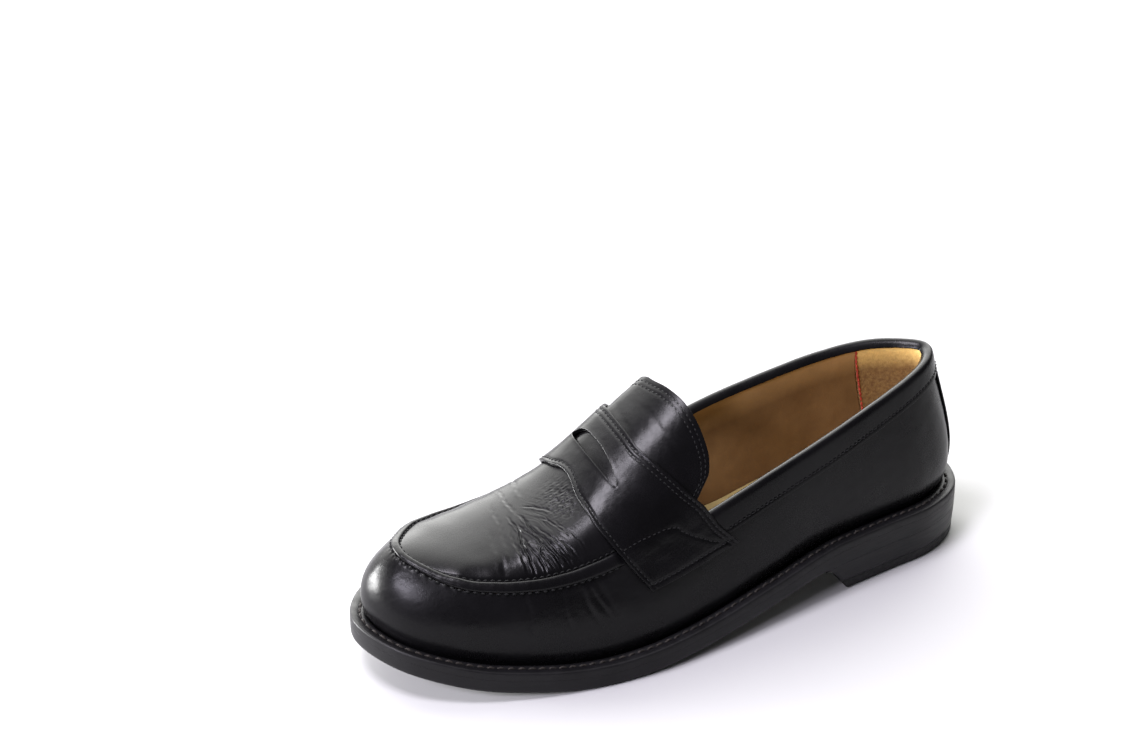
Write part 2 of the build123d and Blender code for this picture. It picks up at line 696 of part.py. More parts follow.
def counter_drop(u):
    return 24 + 1.2 * u**2


def lining_drop(u):
    return rim_drop(u) + 0.3


with BuildPart() as heel_counter:
    add(wall_layer(-COUNTER_END, COUNTER_END, 0, counter_drop, -BACKER_OUT, -BACKER_IN))
heel_counter.part.label = "heel_counter"
export_step(heel_counter.part, "parts/heel_counter.step")

with BuildPart() as toe_puff:
    add(wall_layer(PUFF_START, PUFF_END, 0, 3.0, -BACKER_OUT, -BACKER_IN))
toe_puff.part.label = "toe_puff"
export_step(toe_puff.part, "parts/toe_puff.step")

with BuildPart() as interlining_lateral:
    add(wall_layer(COUNTER_END + BUTT, PUFF_START - BUTT, 0, 4.0, -BACKER_OUT, -BACKER_IN))
interlining_lateral.part.label = "interlining_lateral"
export_step(interlining_lateral.part, "parts/interlining_lateral.step")

with BuildPart() as interlining_medial:
    add(wall_layer(PUFF_END + BUTT, LAPS - COUNTER_END - BUTT, 0, 4.0, -BACKER_OUT, -BACKER_IN))
interlining_medial.part.label = "interlining_medial"
export_step(interlining_medial.part, "parts/interlining_medial.step")

with BuildPart() as vamp_lining:
    add(wall_layer(VAMP_START, VAMP_END, 0, SEAM_DROP + 0.8, -LINING_OUT, -LINING_IN))
vamp_lining.part.label = "vamp_lining"
export_step(vamp_lining.part, "parts/vamp_lining.step")

with BuildPart() as apron_lining:
    add(apron_piece(-LINING_OUT, -LINING_IN, 3.8, APRON_REAR_S))
apron_lining.part.label = "apron_lining"
export_step(apron_lining.part, "parts/apron_lining.step")

with BuildPart() as quarter_lining_lateral:
    add(wall_layer(HEEL_LINING_END + BUTT, VAMP_START - BUTT, 0, lining_drop, -LINING_OUT, -LINING_IN))
quarter_lining_lateral.part.label = "quarter_lining_lateral"
export_step(quarter_lining_lateral.part, "parts/quarter_lining_lateral.step")

with BuildPart() as quarter_lining_medial:
    add(wall_layer(VAMP_END + BUTT, LAPS - HEEL_LINING_END - BUTT, 0, lining_drop, -LINING_OUT, -LINING_IN))
quarter_lining_medial.part.label = "quarter_lining_medial"
export_step(quarter_lining_medial.part, "parts/quarter_lining_medial.step")

with BuildPart() as heel_lining:
    add(wall_layer(-HEEL_LINING_END, HEEL_LINING_END, 0, lining_drop, -LINING_OUT, -LINING_IN))
heel_lining.part.label = "heel_lining"
export_step(heel_lining.part, "parts/heel_lining.step")


# ---------------------------------------------------------------- upper: seams
THREAD_LIFT = 0.15
STITCH_PART = 0.62
SEAM_LAST_S = 181.0
PLUG_ROW_INSET = SEAM_ROLL_WIDTH + 0.8
EDGE_MARGIN = 2.0
ROW_GAP = 2.0

with BuildPart() as moc_stitches:
    u = np.linspace(station_at(SEAM_LAST_S, 1), station_at(SEAM_LAST_S, -1), 300)
    line = wall_offset(u, depth_to_v(u, 0.8), MOC_THREAD + THREAD_LIFT + 0 * u)
    with Locations(*stitch_planes(line, MOC_STITCH_PITCH)):
        Cylinder(MOC_THREAD, MOC_STITCH_PITCH * STITCH_PART)
moc_stitches.part.label = "moc_stitches"
export_step(moc_stitches.part, "parts/moc_stitches.step")

with BuildPart() as plug_stitches:
    u = np.linspace(station_at(SEAM_LAST_S + 8, 1), station_at(SEAM_LAST_S + 8, -1), 300)
    line = seam_point(u, PLUG_ROW_INSET + 0 * u) + UP * (FINE_THREAD + THREAD_LIFT + 0.05)
    with Locations(*stitch_planes(line, FINE_STITCH_PITCH)):
        Cylinder(FINE_THREAD, FINE_STITCH_PITCH * STITCH_PART)
plug_stitches.part.label = "plug_stitches"
export_step(plug_stitches.part, "parts/plug_stitches.step")

with BuildPart() as strap_stitches:
    q = np.linspace(-TAB_DEPTH + 0.06, TAB_DEPTH - 0.06, 160)
    lift = strap_top + FINE_THREAD + THREAD_LIFT + 0 * q
    first_row = strap_rear(q) + EDGE_MARGIN
    for s in (first_row, first_row + ROW_GAP, strap_front(q) - EDGE_MARGIN):
        with Locations(*stitch_planes(saddle_offset(s, q, lift), FINE_STITCH_PITCH)):
            Cylinder(FINE_THREAD, FINE_STITCH_PITCH * STITCH_PART)
strap_stitches.part.label = "strap_stitches"
export_step(strap_stitches.part, "parts/strap_stitches.step")

with BuildPart() as tongue_stitches:
    q = np.linspace(-0.78, 0.78, 120)
    lift = FINE_THREAD + THREAD_LIFT + 0 * q
    for inset in (EDGE_MARGIN, EDGE_MARGIN + ROW_GAP):
        with Locations(*stitch_planes(saddle_offset(tongue_tip(q) + inset, q, lift), FINE_STITCH_PITCH)):
            Cylinder(FINE_THREAD, FINE_STITCH_PITCH * STITCH_PART)
tongue_stitches.part.label = "tongue_stitches"
export_step(tongue_stitches.part, "parts/tongue_stitches.step")

with BuildPart() as collar_stitches:
    depth = COLLAR_DEPTH - EDGE_MARGIN
    last_q = np.array([2 - depth_to_v(STRAP_LATERAL, depth)])
    u = np.linspace(
        float(station_at(strap_rear(-last_q)[0] - 3, -1)) - LAPS,
        float(station_at(strap_rear(last_q)[0] - 3, 1)),
        400,
    )
    row_depth = collar_depth(u) - EDGE_MARGIN
    line = wall_offset(u, depth_to_v(u, row_depth), OVERLAY_OUT + FINE_THREAD + THREAD_LIFT + 0 * u)
    with Locations(*stitch_planes(line, FINE_STITCH_PITCH)):
        Cylinder(FINE_THREAD, FINE_STITCH_PITCH * STITCH_PART)
collar_stitches.part.label = "collar_stitches"
export_step(collar_stitches.part, "parts/collar_stitches.step")

with BuildPart() as heel_lining_stitches:
    depth = np.linspace(8, 44, 60)
    for u in (-HEEL_LINING_END, HEEL_LINING_END):
        line = wall_offset(u, depth_to_v(u, depth), -LINING_IN - FINE_THREAD - THREAD_LIFT + 0 * depth)
        with Locations(*stitch_planes(line, FINE_STITCH_PITCH)):
            Cylinder(FINE_THREAD, FINE_STITCH_PITCH * STITCH_PART)
heel_lining_stitches.part.label = "heel_lining_stitches"
export_step(heel_lining_stitches.part, "parts/heel_lining_stitches.step")
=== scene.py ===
import math

import bpy
import numpy as np
from mathutils import Matrix, Vector


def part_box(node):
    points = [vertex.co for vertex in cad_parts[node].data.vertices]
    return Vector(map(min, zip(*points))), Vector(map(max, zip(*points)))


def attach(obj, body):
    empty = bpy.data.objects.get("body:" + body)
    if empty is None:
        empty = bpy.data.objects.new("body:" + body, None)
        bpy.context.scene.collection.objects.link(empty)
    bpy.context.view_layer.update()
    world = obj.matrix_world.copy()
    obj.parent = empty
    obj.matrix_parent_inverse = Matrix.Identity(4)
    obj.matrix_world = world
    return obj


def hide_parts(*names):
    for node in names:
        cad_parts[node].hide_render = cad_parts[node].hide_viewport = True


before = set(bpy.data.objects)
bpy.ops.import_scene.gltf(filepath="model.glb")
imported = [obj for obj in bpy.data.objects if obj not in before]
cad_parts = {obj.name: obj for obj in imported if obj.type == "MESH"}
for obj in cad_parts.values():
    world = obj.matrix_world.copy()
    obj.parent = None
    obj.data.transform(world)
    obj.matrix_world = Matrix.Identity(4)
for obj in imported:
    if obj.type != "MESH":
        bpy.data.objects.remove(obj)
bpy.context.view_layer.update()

# Left penny loafer. Shapes are worked out in shoe coordinates, in millimetres: x across (lateral
# positive), s from the back of the heel towards the toe, z up. The frame's axes are
# X = x - ORIGIN_X, Y = ORIGIN_S - s, Z = z, and its unit is the metre.
MM = 0.001
SOLE_LENGTH = (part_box("outsole")[1].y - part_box("outsole")[0].y) / MM
OUTSOLE_THICKNESS = 6.4
WELT_THICKNESS = 3.5
WELT_WIDTH = 7.0
CEMENT_GAP = 0.2
EDGE_THICKNESS = OUTSOLE_THICKNESS + CEMENT_GAP + WELT_THICKNESS
HEEL_SEAT = 14.6
TOE_SPRING = 15.4
TOP_LIFT_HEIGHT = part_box("top_lift")[1].z / MM
LEATHER = 1.3
LINING_OUT = 2.5
LINING_IN = 3.4
SEAM_ROLL_WIDTH = 2.8
COLLAR_DEPTH = 13.0
COLLAR_HEEL_DEPTH = 10.4
COLLAR_TURN = 3.0
TOP_GAP = 1.2
COLLAR_INNER_LEG = 0.8
STRAP_LIFT = 0.6
STRAP_THICKNESS = 1.4
TAB_DEPTH = 1.4
BACK_STRIP_WIDTH = 14.0
OVERLAY_IN = 0.2
MOC_STITCH_PITCH = 5.0
FINE_STITCH_PITCH = 2.8
WELT_STITCH_PITCH = 4.2
SOLE_LATERAL = 52.55
SOLE_MEDIAL = 46.85
ORIGIN_X = (SOLE_LATERAL - SOLE_MEDIAL) / 2
ORIGIN_S = SOLE_LENGTH / 2
UP = np.array([0.0, 0.0, 1.0])
RANDOM = np.random.default_rng(7)

PROFILE_S = [0, 70, 110, 150, 190, 230, SOLE_LENGTH]
PROFILE_Z = [HEEL_SEAT, HEEL_SEAT, 0.62 * HEEL_SEAT, 0.2 * HEEL_SEAT, 0, 0.25 * TOE_SPRING, TOE_SPRING]

# Stations round the shoe, from the back of the heel along the lateral side: sole edge (x, s), top
# edge of the wall (x, s, z), and the handles of the wall's curve (out, up, out, down).
STATIONS = [
    ((0, 0), (-4, 11.5, 84.5), (9, 12, 5, 22)),
    ((18, 6.5), (6, 17.5, 84), (8, 13, 5, 21)),
    ((28.5, 24), (13.5, 31.5, 82.2), (6, 13, 5.5, 18)),
    ((32.5, 48), (20.3, 52, 79), (5, 13, 5, 16)),
    ((37, 76), (26, 77, 73.5), (4, 13, 4, 15)),
    ((43, 106), (31, 106, 67), (4, 13, 4, 14)),
    ((48.7, 136), (34, 136, 58.5), (4, 12, 4, 12)),
    ((52.5, 166), (37, 166, 50), (4, 12, 4, 11)),
    ((51, 195), (38, 194, 45.5), (4, 12, 4, 10)),
    ((45.5, 222), (33.5, 218, 44), (4, 12, 5, 9)),
    ((35.5, 249), (23.5, 242, 46.5), (4, 12, 6, 8)),
    ((20, 269.5), (8, 256.5, 52), (5, 12, 9, 8)),
    ((-2.5, SOLE_LENGTH), (-3, 259.5, 54), (6, 12, 10, 7)),
    ((-23, 269), (-13.5, 254.5, 52), (6.5, 12, 9, 8)),
    ((-39, 250), (-26, 241, 47), (5, 12, 7, 8)),
    ((-46.5, 222), (-31, 217, 44.5), (4, 12, 5, 9)),
    ((-45, 195), (-31, 194, 46), (4, 12, 4, 10)),
    ((-38, 166), (-30, 166, 50), (4, 12, 4, 11)),
    ((-30.5, 136), (-30, 136, 58.5), (4, 12, 4, 12)),
    ((-28.5, 106), (-31, 106, 67), (4, 13, 4, 14)),
    ((-31.5, 76), (-29.5, 77, 73.5), (4, 13, 4, 15)),
    ((-33.5, 48), (-27, 52, 78.5), (5, 13, 4, 16)),
    ((-30, 20), (-21.5, 32, 82.2), (6, 13, 4, 18)),
    ((-19, 5.5), (-12.5, 17.5, 84), (8, 12, 4.5, 20)),
]
LAPS = len(STATIONS)
TOE_STATION = 12
SOLE_EDGE = np.array([station[0] for station in STATIONS], float)
TOP_EDGE = np.array([station[1] for station in STATIONS], float)
HANDLES = np.array([station[2] for station in STATIONS], float)

CREST_S = [120, 130, 140, 150, 160, 170, 180, 190, 200, 215, 235, 255]
CREST_X = [-12, -12, -11.5, -11, -10, -8.5, -7, -5.5, -4, -3, -2, -2]
CREST_Z = [111, 105, 99, 92.5, 86, 79, 72, 66, 62, 57.5, 54.5, 54]

STRAP_CENTRE = 0.09
STRAP_Q = [0, 0.24, 0.47, 0.76, 0.96, 1.15, TAB_DEPTH]
STRAP_REAR_S = [159.2, 158.4, 154.0, 145.4, 137.7, 134.0, 125.7]
STRAP_FRONT_S = [183.4, 185.6, 185.0, 181.2, 177.0, 173.2, 167.5]
SLOT_HALF_WIDTH = 0.36
SLOT_S = 171.4
SLOT_REAR_BULGE = 2.9
SLOT_FRONT_BULGE = 2.6
TONGUE_Q = [-0.91, -0.86, -0.78, -0.65, -0.4, -0.2, 0, 0.16, 0.35, 0.55, 0.7, 0.8, 0.86, 0.91]
TONGUE_TIP_S = [
    143.5, 141.4, 139.4, 138.8, 140.6, 141.9, 141.2, 138.4, 135.2, 133.0, 132.2, 133.6, 137.9, 142.0,
]
TONGUE_HALF = 0.91
TONGUE_FRONT_S = 175.4
APRON_REAR_S = 175.8
SEAM_ROLL_END_S = 177.0
HEEL_BREAST_HEIGHTS = [0, 3, 9, 12.6, HEEL_SEAT]
HEEL_BREAST_S = [69.2, 71.6, 75.2, 78.6, 82.0]


# ------------------------ curves and surfaces
def loop(table, u):
    """Smooth closed curve through the rows of a station table."""
    u = np.asarray(u, float) % LAPS
    first = np.floor(u).astype(int)
    t = (u - first)[..., None]
    a, b, c, d = [table[(first + k) % LAPS] for k in (-1, 0, 1, 2)]
    return 0.5 * (2 * b + (c - a) * t + (2 * a - 5 * b + 4 * c - d) * t**2 + (3 * b - a - 3 * c + d) * t**3)


def smooth(knots, values, x):
    """Cubic through the knots that never overshoots them."""
    knots = np.array(knots, float)
    values = np.array(values, float)
    x = np.asarray(x, float)
    width = np.diff(knots)
    slope = np.diff(values) / width
    before, after = slope[:-1], slope[1:]
    same_way = before * after > 0
    level = np.where(same_way, 2 * before * after / np.where(same_way, before + after, 1), 0)
    tangent = np.concatenate([slope[:1], level, slope[-1:]])
    i = np.clip(np.searchsorted(knots, x) - 1, 0, len(width) - 1)
    t = (x - knots[i]) / width[i]
    start = values[i] * (1 + 2 * t) * (1 - t) ** 2 + tangent[i] * width[i] * t * (1 - t) ** 2
    end = values[i + 1] * t**2 * (3 - 2 * t) + tangent[i + 1] * width[i] * t**2 * (t - 1)
    return start + end


def smooth_even(knots, values, x):
    """The same for a curve that is symmetric about its first knot, at zero."""
    left = [-knot for knot in knots[:0:-1]]
    return smooth(left + list(knots), values[:0:-1] + list(values), x)


def bezier(a, b, c, d, t):
    w = 1 - t
    return w**3 * a + 3 * w * w * t * b + 3 * w * t * t * c + t**3 * d


def step(low, high, x):
    """Smooth step from 0 at low to 1 at high."""
    t = np.clip((np.asarray(x, float) - low) / (high - low), 0, 1)
    return t * t * (3 - 2 * t)


def matched(*values):
    """The values as float arrays of one shape."""
    return np.broadcast_arrays(*[np.asarray(value, float) for value in values])


def unit(vectors):
    return vectors / np.linalg.norm(vectors, axis=-1, keepdims=True)


def bell(x, width):
    """1 at zero, fading to nothing at about twice the width on either side."""
    return np.exp(-((x / width) ** 2))


def ripple(run, pitch):
    """Wave between 0 and 1 along a run of stitches."""
    return 0.5 + 0.5 * np.cos(2 * np.pi * run / pitch)


def signed_power(x, power):
    return np.sign(x) * np.abs(x) ** power


def grid(a, b):
    """Every value of a, by rows, paired with every value of b, by columns."""
    return np.meshgrid(a, b, indexing="ij")


def stretches(*parts):
    """Numbers that run on through several stretches, each a start, an end and a count."""
    runs = [np.linspace(*part) for part in parts]
    return np.concatenate([run[:-1] for run in runs[:-1]] + runs[-1:])


def run_along(line):
    """Distance along a line of points, from its first point."""
    return np.concatenate([[0], np.cumsum(np.linalg.norm(np.diff(line, axis=0), axis=1))])


def from_heel(u):
    """Number of stations from the back of the heel, either way round."""
    return np.abs((np.asarray(u, float) + LAPS / 2) % LAPS - LAPS / 2)


def sole_bottom(s):
    return smooth(PROFILE_S, PROFILE_Z, s)


def plan_normal(table, u):
    """Outward normal of a closed curve in plan, as a 3-D vector."""
    along = loop(table, u + 1e-3) - loop(table, u - 1e-3)
    return unit(np.stack([along[..., 1], -along[..., 0], 0 * along[..., 0]], -1))


def sole_line(u, inset, height):
    """Line on the sole, inset from its edge, at a height above its underside."""
    u, inset, height = matched(u, inset, height)
    point = loop(SOLE_EDGE, u) - inset[..., None] * plan_normal(SOLE_EDGE, u)[..., :2]
    z = sole_bottom(np.clip(point[..., 1], 0, SOLE_LENGTH)) + height
    return np.concatenate([point, z[..., None]], -1)


def wall(u, v):
    """Outer face of the upper's wall: v runs from the welt (0) to the top edge (1)."""
    u, v = matched(u, v)
    base = sole_line(u, WELT_WIDTH, EDGE_THICKNESS)
    top = loop(TOP_EDGE, u)
    handle = loop(HANDLES, u)
    out = plan_normal(SOLE_EDGE, u)
    low = base + out * handle[..., 0:1] + UP * handle[..., 1:2]
    high = top + out * handle[..., 2:3] - UP * handle[..., 3:4]
    return bezier(base, low, high, top, v[..., None])


def station_at(s, side):
    """Station where the top edge passes s, on the lateral (1) or medial (-1) side."""
    numbers = np.linspace(0 if side > 0 else LAPS, TOE_STATION, 600)
    return np.interp(s, loop(TOP_EDGE, numbers)[..., 1], numbers)


def round_toe(s, count):
    """Stations from where the top edge passes s on the lateral side, round the toe, to the medial."""
    return np.linspace(station_at(s, 1), station_at(s, -1), count)


def instep(s, q):
    """Outer face over the instep: q is 1 at the lateral top edge, 0 at the crest, -1 medial."""
    s, q = matched(s, q)
    crest = np.stack([smooth(CREST_S, CREST_X, s), s, smooth(CREST_S, CREST_Z, s)], -1)
    points = crest.copy()
    for side in (1, -1):
        u = station_at(s, side)
        edge = loop(TOP_EDGE, u)
        handle = loop(HANDLES, u)
        lean = unit(UP * handle[..., 3:4] - plan_normal(SOLE_EDGE, u) * handle[..., 2:3])
        rise = crest[..., 2:3] - edge[..., 2:3]
        reach = np.abs(crest[..., 0:1] - edge[..., 0:1])
        low = edge + lean * rise * 0.6
        high = crest + np.array([side, 0, 0]) * reach * 0.55
        half = bezier(edge, low, high, crest, 1 - np.abs(q)[..., None])
        points = np.where((q * side > 0)[..., None], half, points)
    return points


def saddle(s, q):
    """Instep surface carried on down both walls for |q| above 1."""
    s, q = matched(s, q)
    points = instep(s, np.clip(q, -1, 1))
    for side in (1, -1):
        down = wall(station_at(s, side), np.clip(2 - np.abs(q), 0, 1))
        points = np.where((q * side > 1)[..., None], down, points)
    return points


def plate(points):
    """Thin-plate surface z(x, s) through points, returned as a function."""
    points = np.asarray(points, float)
    plan = points[:, :2]

    def kernel(a, b):
        r2 = ((a[..., None, :] - b) ** 2).sum(-1)
        return r2 * np.log(r2 + 1e-9)

    count = len(plan)
    flat = np.column_stack([np.ones(count), plan])
    system = np.zeros((count + 3, count + 3))
    system[:count, :count] = kernel(plan, plan)
    system[:count, count:] = flat
    system[count:, :count] = flat.T
    weights = np.linalg.solve(system, np.concatenate([points[:, 2], np.zeros(3)]))

    def height(x, s):
        at = np.stack([x, s], -1)
        plane = weights[count] + weights[count + 1] * x + weights[count + 2] * s
        return kernel(at, plan) @ weights[:count] + plane

    return height


crossing_s, crossing_q = np.meshgrid([168, 180, 192, 205, 218, 230, 242], [-0.7, -0.35, 0, 0.35, 0.7])
seam_edge = loop(TOP_EDGE, round_toe(APRON_REAR_S - 6, 36))
apron_height = plate(np.concatenate([seam_edge, instep(crossing_s, crossing_q).reshape(-1, 3)]))


def apron_face(x, s):
    x, s = matched(x, s)
    return np.stack([x, s, apron_height(x, s)], -1)


def seam_point(u, inset):
    """Point on the apron, inset in plan from the wall's top edge."""
    u, inset = matched(u, inset)
    point = loop(TOP_EDGE, u) - plan_normal(TOP_EDGE, u) * inset[..., None]
    return apron_face(point[..., 0], point[..., 1])


def normals(surface, a, b, step_a, step_b, outward):
    across = surface(a + step_a, b) - surface(a - step_a, b)
    along = surface(a, b + step_b) - surface(a, b - step_b)
    return unit(np.cross(across, along) * outward)


def wall_normal(u, v):
    return normals(wall, u, v, 0.02, 0.01, 1)


def saddle_normal(s, q):
    return normals(saddle, s, q, 0.5, 0.02, -1)


def apron_normal(x, s):
    return normals(apron_face, x, s, 0.2, 0.2, 1)


def layers(surface, normal, a, b, *heights):
    """Grids of points at several heights over one surface."""
    face, out = surface(a, b), normal(a, b)
    return [face + out * (height + 0 * out[..., 0])[..., None] for height in heights]


def depth_to_v(u, depth):
    """Wall parameter v at a distance measured down the wall from its top edge."""
    u, depth = matched(u, depth)
    samples = np.linspace(1, 0, 41)
    knots = np.linspace(0, LAPS, 241)
    line = wall(knots[:, None], samples)
    run = np.cumsum(np.linalg.norm(np.diff(line, axis=1), axis=-1), axis=1)
    run = np.concatenate([np.zeros((len(knots), 1)), run], 1)
    place = (u % LAPS) / LAPS * (len(knots) - 1)
    low = np.clip(np.floor(place).astype(int), 0, len(knots) - 2)
    part = place - low
    lengths = run[low] * (1 - part)[..., None] + run[low + 1] * part[..., None]
    flat = lengths.reshape(-1, len(samples))
    index = (flat < depth.ravel()[:, None]).sum(1).clip(1, len(samples) - 1)
    rows = np.arange(len(flat))
    near, far = flat[rows, index - 1], flat[rows, index]
    t = np.clip((depth.ravel() - near) / (far - near), 0, 1)
    return (samples[index - 1] + (samples[index] - samples[index - 1]) * t).reshape(u.shape)


def from_strap_centre(q):
    return q - STRAP_CENTRE * (1 - np.abs(q) / TAB_DEPTH)


def strap_rear(q):
    return smooth_even(STRAP_Q, STRAP_REAR_S, from_strap_centre(q))


def strap_front(q):
    return smooth_even(STRAP_Q, STRAP_FRONT_S, from_strap_centre(q))


def tongue_tip(q):
    return smooth(TONGUE_Q, TONGUE_TIP_S, q)


def rim_drop(u):
    """How far the wall's leathers stop below the top line: more under the collar than in front of it."""
    return COLLAR_TURN + (TOP_GAP - COLLAR_TURN) * step(STRAP_LATERAL, STRAP_LATERAL + 1, from_heel(u))


STRAP_LATERAL = float(station_at(137.5, 1))


# ------------------------ surface relief
def waves(a, b, seed, scale, octaves=3):
    """Smooth random relief from about -1 to 1; scale is its largest feature size."""
    random = np.random.default_rng(seed)
    total = 0 * np.asarray(a, float)
    weight_sum = 0
    for octave in range(octaves):
        weight = 0.55**octave
        for _ in range(5):
            turn = random.uniform(0, 2 * math.pi)
            wave = 2 * math.pi * 2**octave / scale * random.uniform(0.6, 1.2)
            phase = random.uniform(0, 2 * math.pi)
            total = total + weight * np.sin(wave * (math.cos(turn) * a + math.sin(turn) * b) + phase)
        weight_sum += weight * 2.2
    return total / weight_sum


# ------------------------ meshes
def to_frame(points):
    points = np.asarray(points, float)
    return np.stack([points[..., 0] - ORIGIN_X, ORIGIN_S - points[..., 1], points[..., 2]], -1) * MM


def add_mesh(name, points, faces, finish, node, bevel=0.0, rim=()):
    """Mesh object from shoe coordinates, riding on the root body in place of a CAD node."""
    material, slot = finish
    mesh = bpy.data.meshes.new(name)
    mesh.from_pydata(to_frame(points).reshape(-1, 3).tolist(), [], [tuple(face) for face in faces])
    mesh.validate()
    mesh.update()
    mesh.shade_smooth()
    thing = bpy.data.objects.new(name, mesh)
    bpy.context.scene.collection.objects.link(thing)
    mesh.materials.append(material)
    if bevel:
        marked = {tuple(sorted(edge)) for edge in rim}
        weights = mesh.attributes.new("bevel_weight_edge", "FLOAT", "EDGE")
        for edge in mesh.edges:
            if tuple(sorted(edge.vertices)) in marked:
                weights.data[edge.index].value = 1.0
        rounding = thing.modifiers.new("rounded rim", "BEVEL")
        rounding.limit_method = "WEIGHT"
        rounding.width = bevel * MM
        rounding.segments = 3
        rounding.use_clamp_overlap = True
    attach(thing, "root")
    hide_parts(node)
    return thing


def grid_faces(rows, columns, close_rows=False, close_columns=False, first=0):
    """Quads of a grid of points numbered row by row."""
    faces = []
    for i in range(rows if close_rows else rows - 1):
        for j in range(columns if close_columns else columns - 1):
            a, b = i % rows, (i + 1) % rows
            c, d = j % columns, (j + 1) % columns
            corners = ((a, c), (b, c), (b, d), (a, d))
            faces.append(tuple(first + row * columns + column for row, column in corners))
    return faces


def thick(outer, inner, faces):
    """Closed sheet from two matching point sets; also returns its rim edges."""
    count = len(outer)
    used = {(a, b): True for face in faces for a, b in zip(face, face[1:] + face[:1])}
    border = [(a, b) for a, b in used if (b, a) not in used]
    closed = list(faces)
    closed += [tuple(count + k for k in reversed(face)) for face in faces]
    closed += [(b, a, count + a, count + b) for a, b in border]
    rim = border + [(count + a, count + b) for a, b in border]
    return np.concatenate([outer, inner]), closed, rim


def sheet(name, outer, inner, finish, node, bevel, close_rows=False):
    """Piece of leather between two grids of points."""
    faces = grid_faces(*outer.shape[:2], close_rows)
    if outward_sign(outer, inner) < 0:
        faces = [face[::-1] for face in faces]
    points, closed, rim = thick(outer.reshape(-1, 3), inner.reshape(-1, 3), faces)
    return add_mesh(name, points, closed, finish, node, bevel, rim)


def outward_sign(outer, inner):
    """1 if a grid's quads, in frame axes, face from inner to outer."""
    i, j = outer.shape[0] // 2, outer.shape[1] // 2
    a, b, c = to_frame(np.stack([outer[i, j], outer[i + 1, j], outer[i, j + 1]]))
    lift = to_frame(outer[i, j]) - to_frame(inner[i, j])
    return 1 if np.dot(np.cross(b - a, c - a), lift) > 0 else -1


THREAD_SIDES = 7
THREAD_RINGS = 7


def tube_rows(name, rows, radius, pitch, finish, node, arch=0.4, fill=0.72):
    """Rows of stitches: each is a short arched thread that dips into the leather at both ends."""
    points, faces = [], []
    for centres, lifts in rows:
        run = run_along(centres)
        count = max(int(run[-1] / pitch), 1)
        for middle in (np.arange(count) + 0.5) * run[-1] / count:
            reach = pitch * fill / 2 * RANDOM.uniform(0.92, 1.06)
            spots = middle + np.linspace(-reach, reach, THREAD_RINGS)
            path = np.stack([np.interp(spots, run, centres[:, k]) for k in range(3)], 1)
            up = unit(np.array([np.interp(middle, run, lifts[:, k]) for k in range(3)]))
            curve = 1 - np.linspace(-1, 1, THREAD_RINGS) ** 2
            path = path + up * ((curve * (radius * arch + radius) - radius * 0.9)[:, None])
            side = unit(np.cross(unit(path[-1] - path[0]), up))
            path = path + side * RANDOM.uniform(-0.12, 0.12) * radius
            first = len(points)
            for place, roundness in zip(path, curve):
                size = radius * (0.55 + 0.45 * roundness**0.5)
                for j in range(THREAD_SIDES):
                    angle = 2 * math.pi * j / THREAD_SIDES
                    points.append(place + size * (side * math.cos(angle) + up * math.sin(angle)))
            faces += grid_faces(THREAD_RINGS, THREAD_SIDES, close_columns=True, first=first)
            faces.append(tuple(range(first, first + THREAD_SIDES)))
            faces.append(tuple(range(len(points) - 1, len(points) - 1 - THREAD_SIDES, -1)))
    return add_mesh(name, np.array(points), faces, finish, node)


# ------------------------ materials
class Nodes:
    """Adds and links the nodes of a tree."""

    def __init__(self, tree):
        self.tree = tree

    def add(self, kind, **values):
        node = self.tree.nodes.new(kind)
        for key, value in values.items():
            setattr(node, key, value)
        return node

    def link(self, start, end):
        self.tree.links.new(start, end)

    def toward(self, vector, direction):
        """How far a vector points in a direction."""
        node = self.add("ShaderNodeVectorMath", operation="DOT_PRODUCT")
        node.inputs[1].default_value = direction
        self.link(vector, node.inputs[0])
        return node.outputs["Value"]

    def ramp(self, value, low, high, start=0.0, end=1.0, curve="LINEAR"):
        """Value remapped from start-end to low-high."""
        node = self.add("ShaderNodeMapRange", interpolation_type=curve)
        for socket, number in zip(("From Min", "From Max", "To Min", "To Max"), (start, end, low, high)):
            node.inputs[socket].default_value = number
        self.link(value, node.inputs["Value"])
        return node.outputs["Result"]


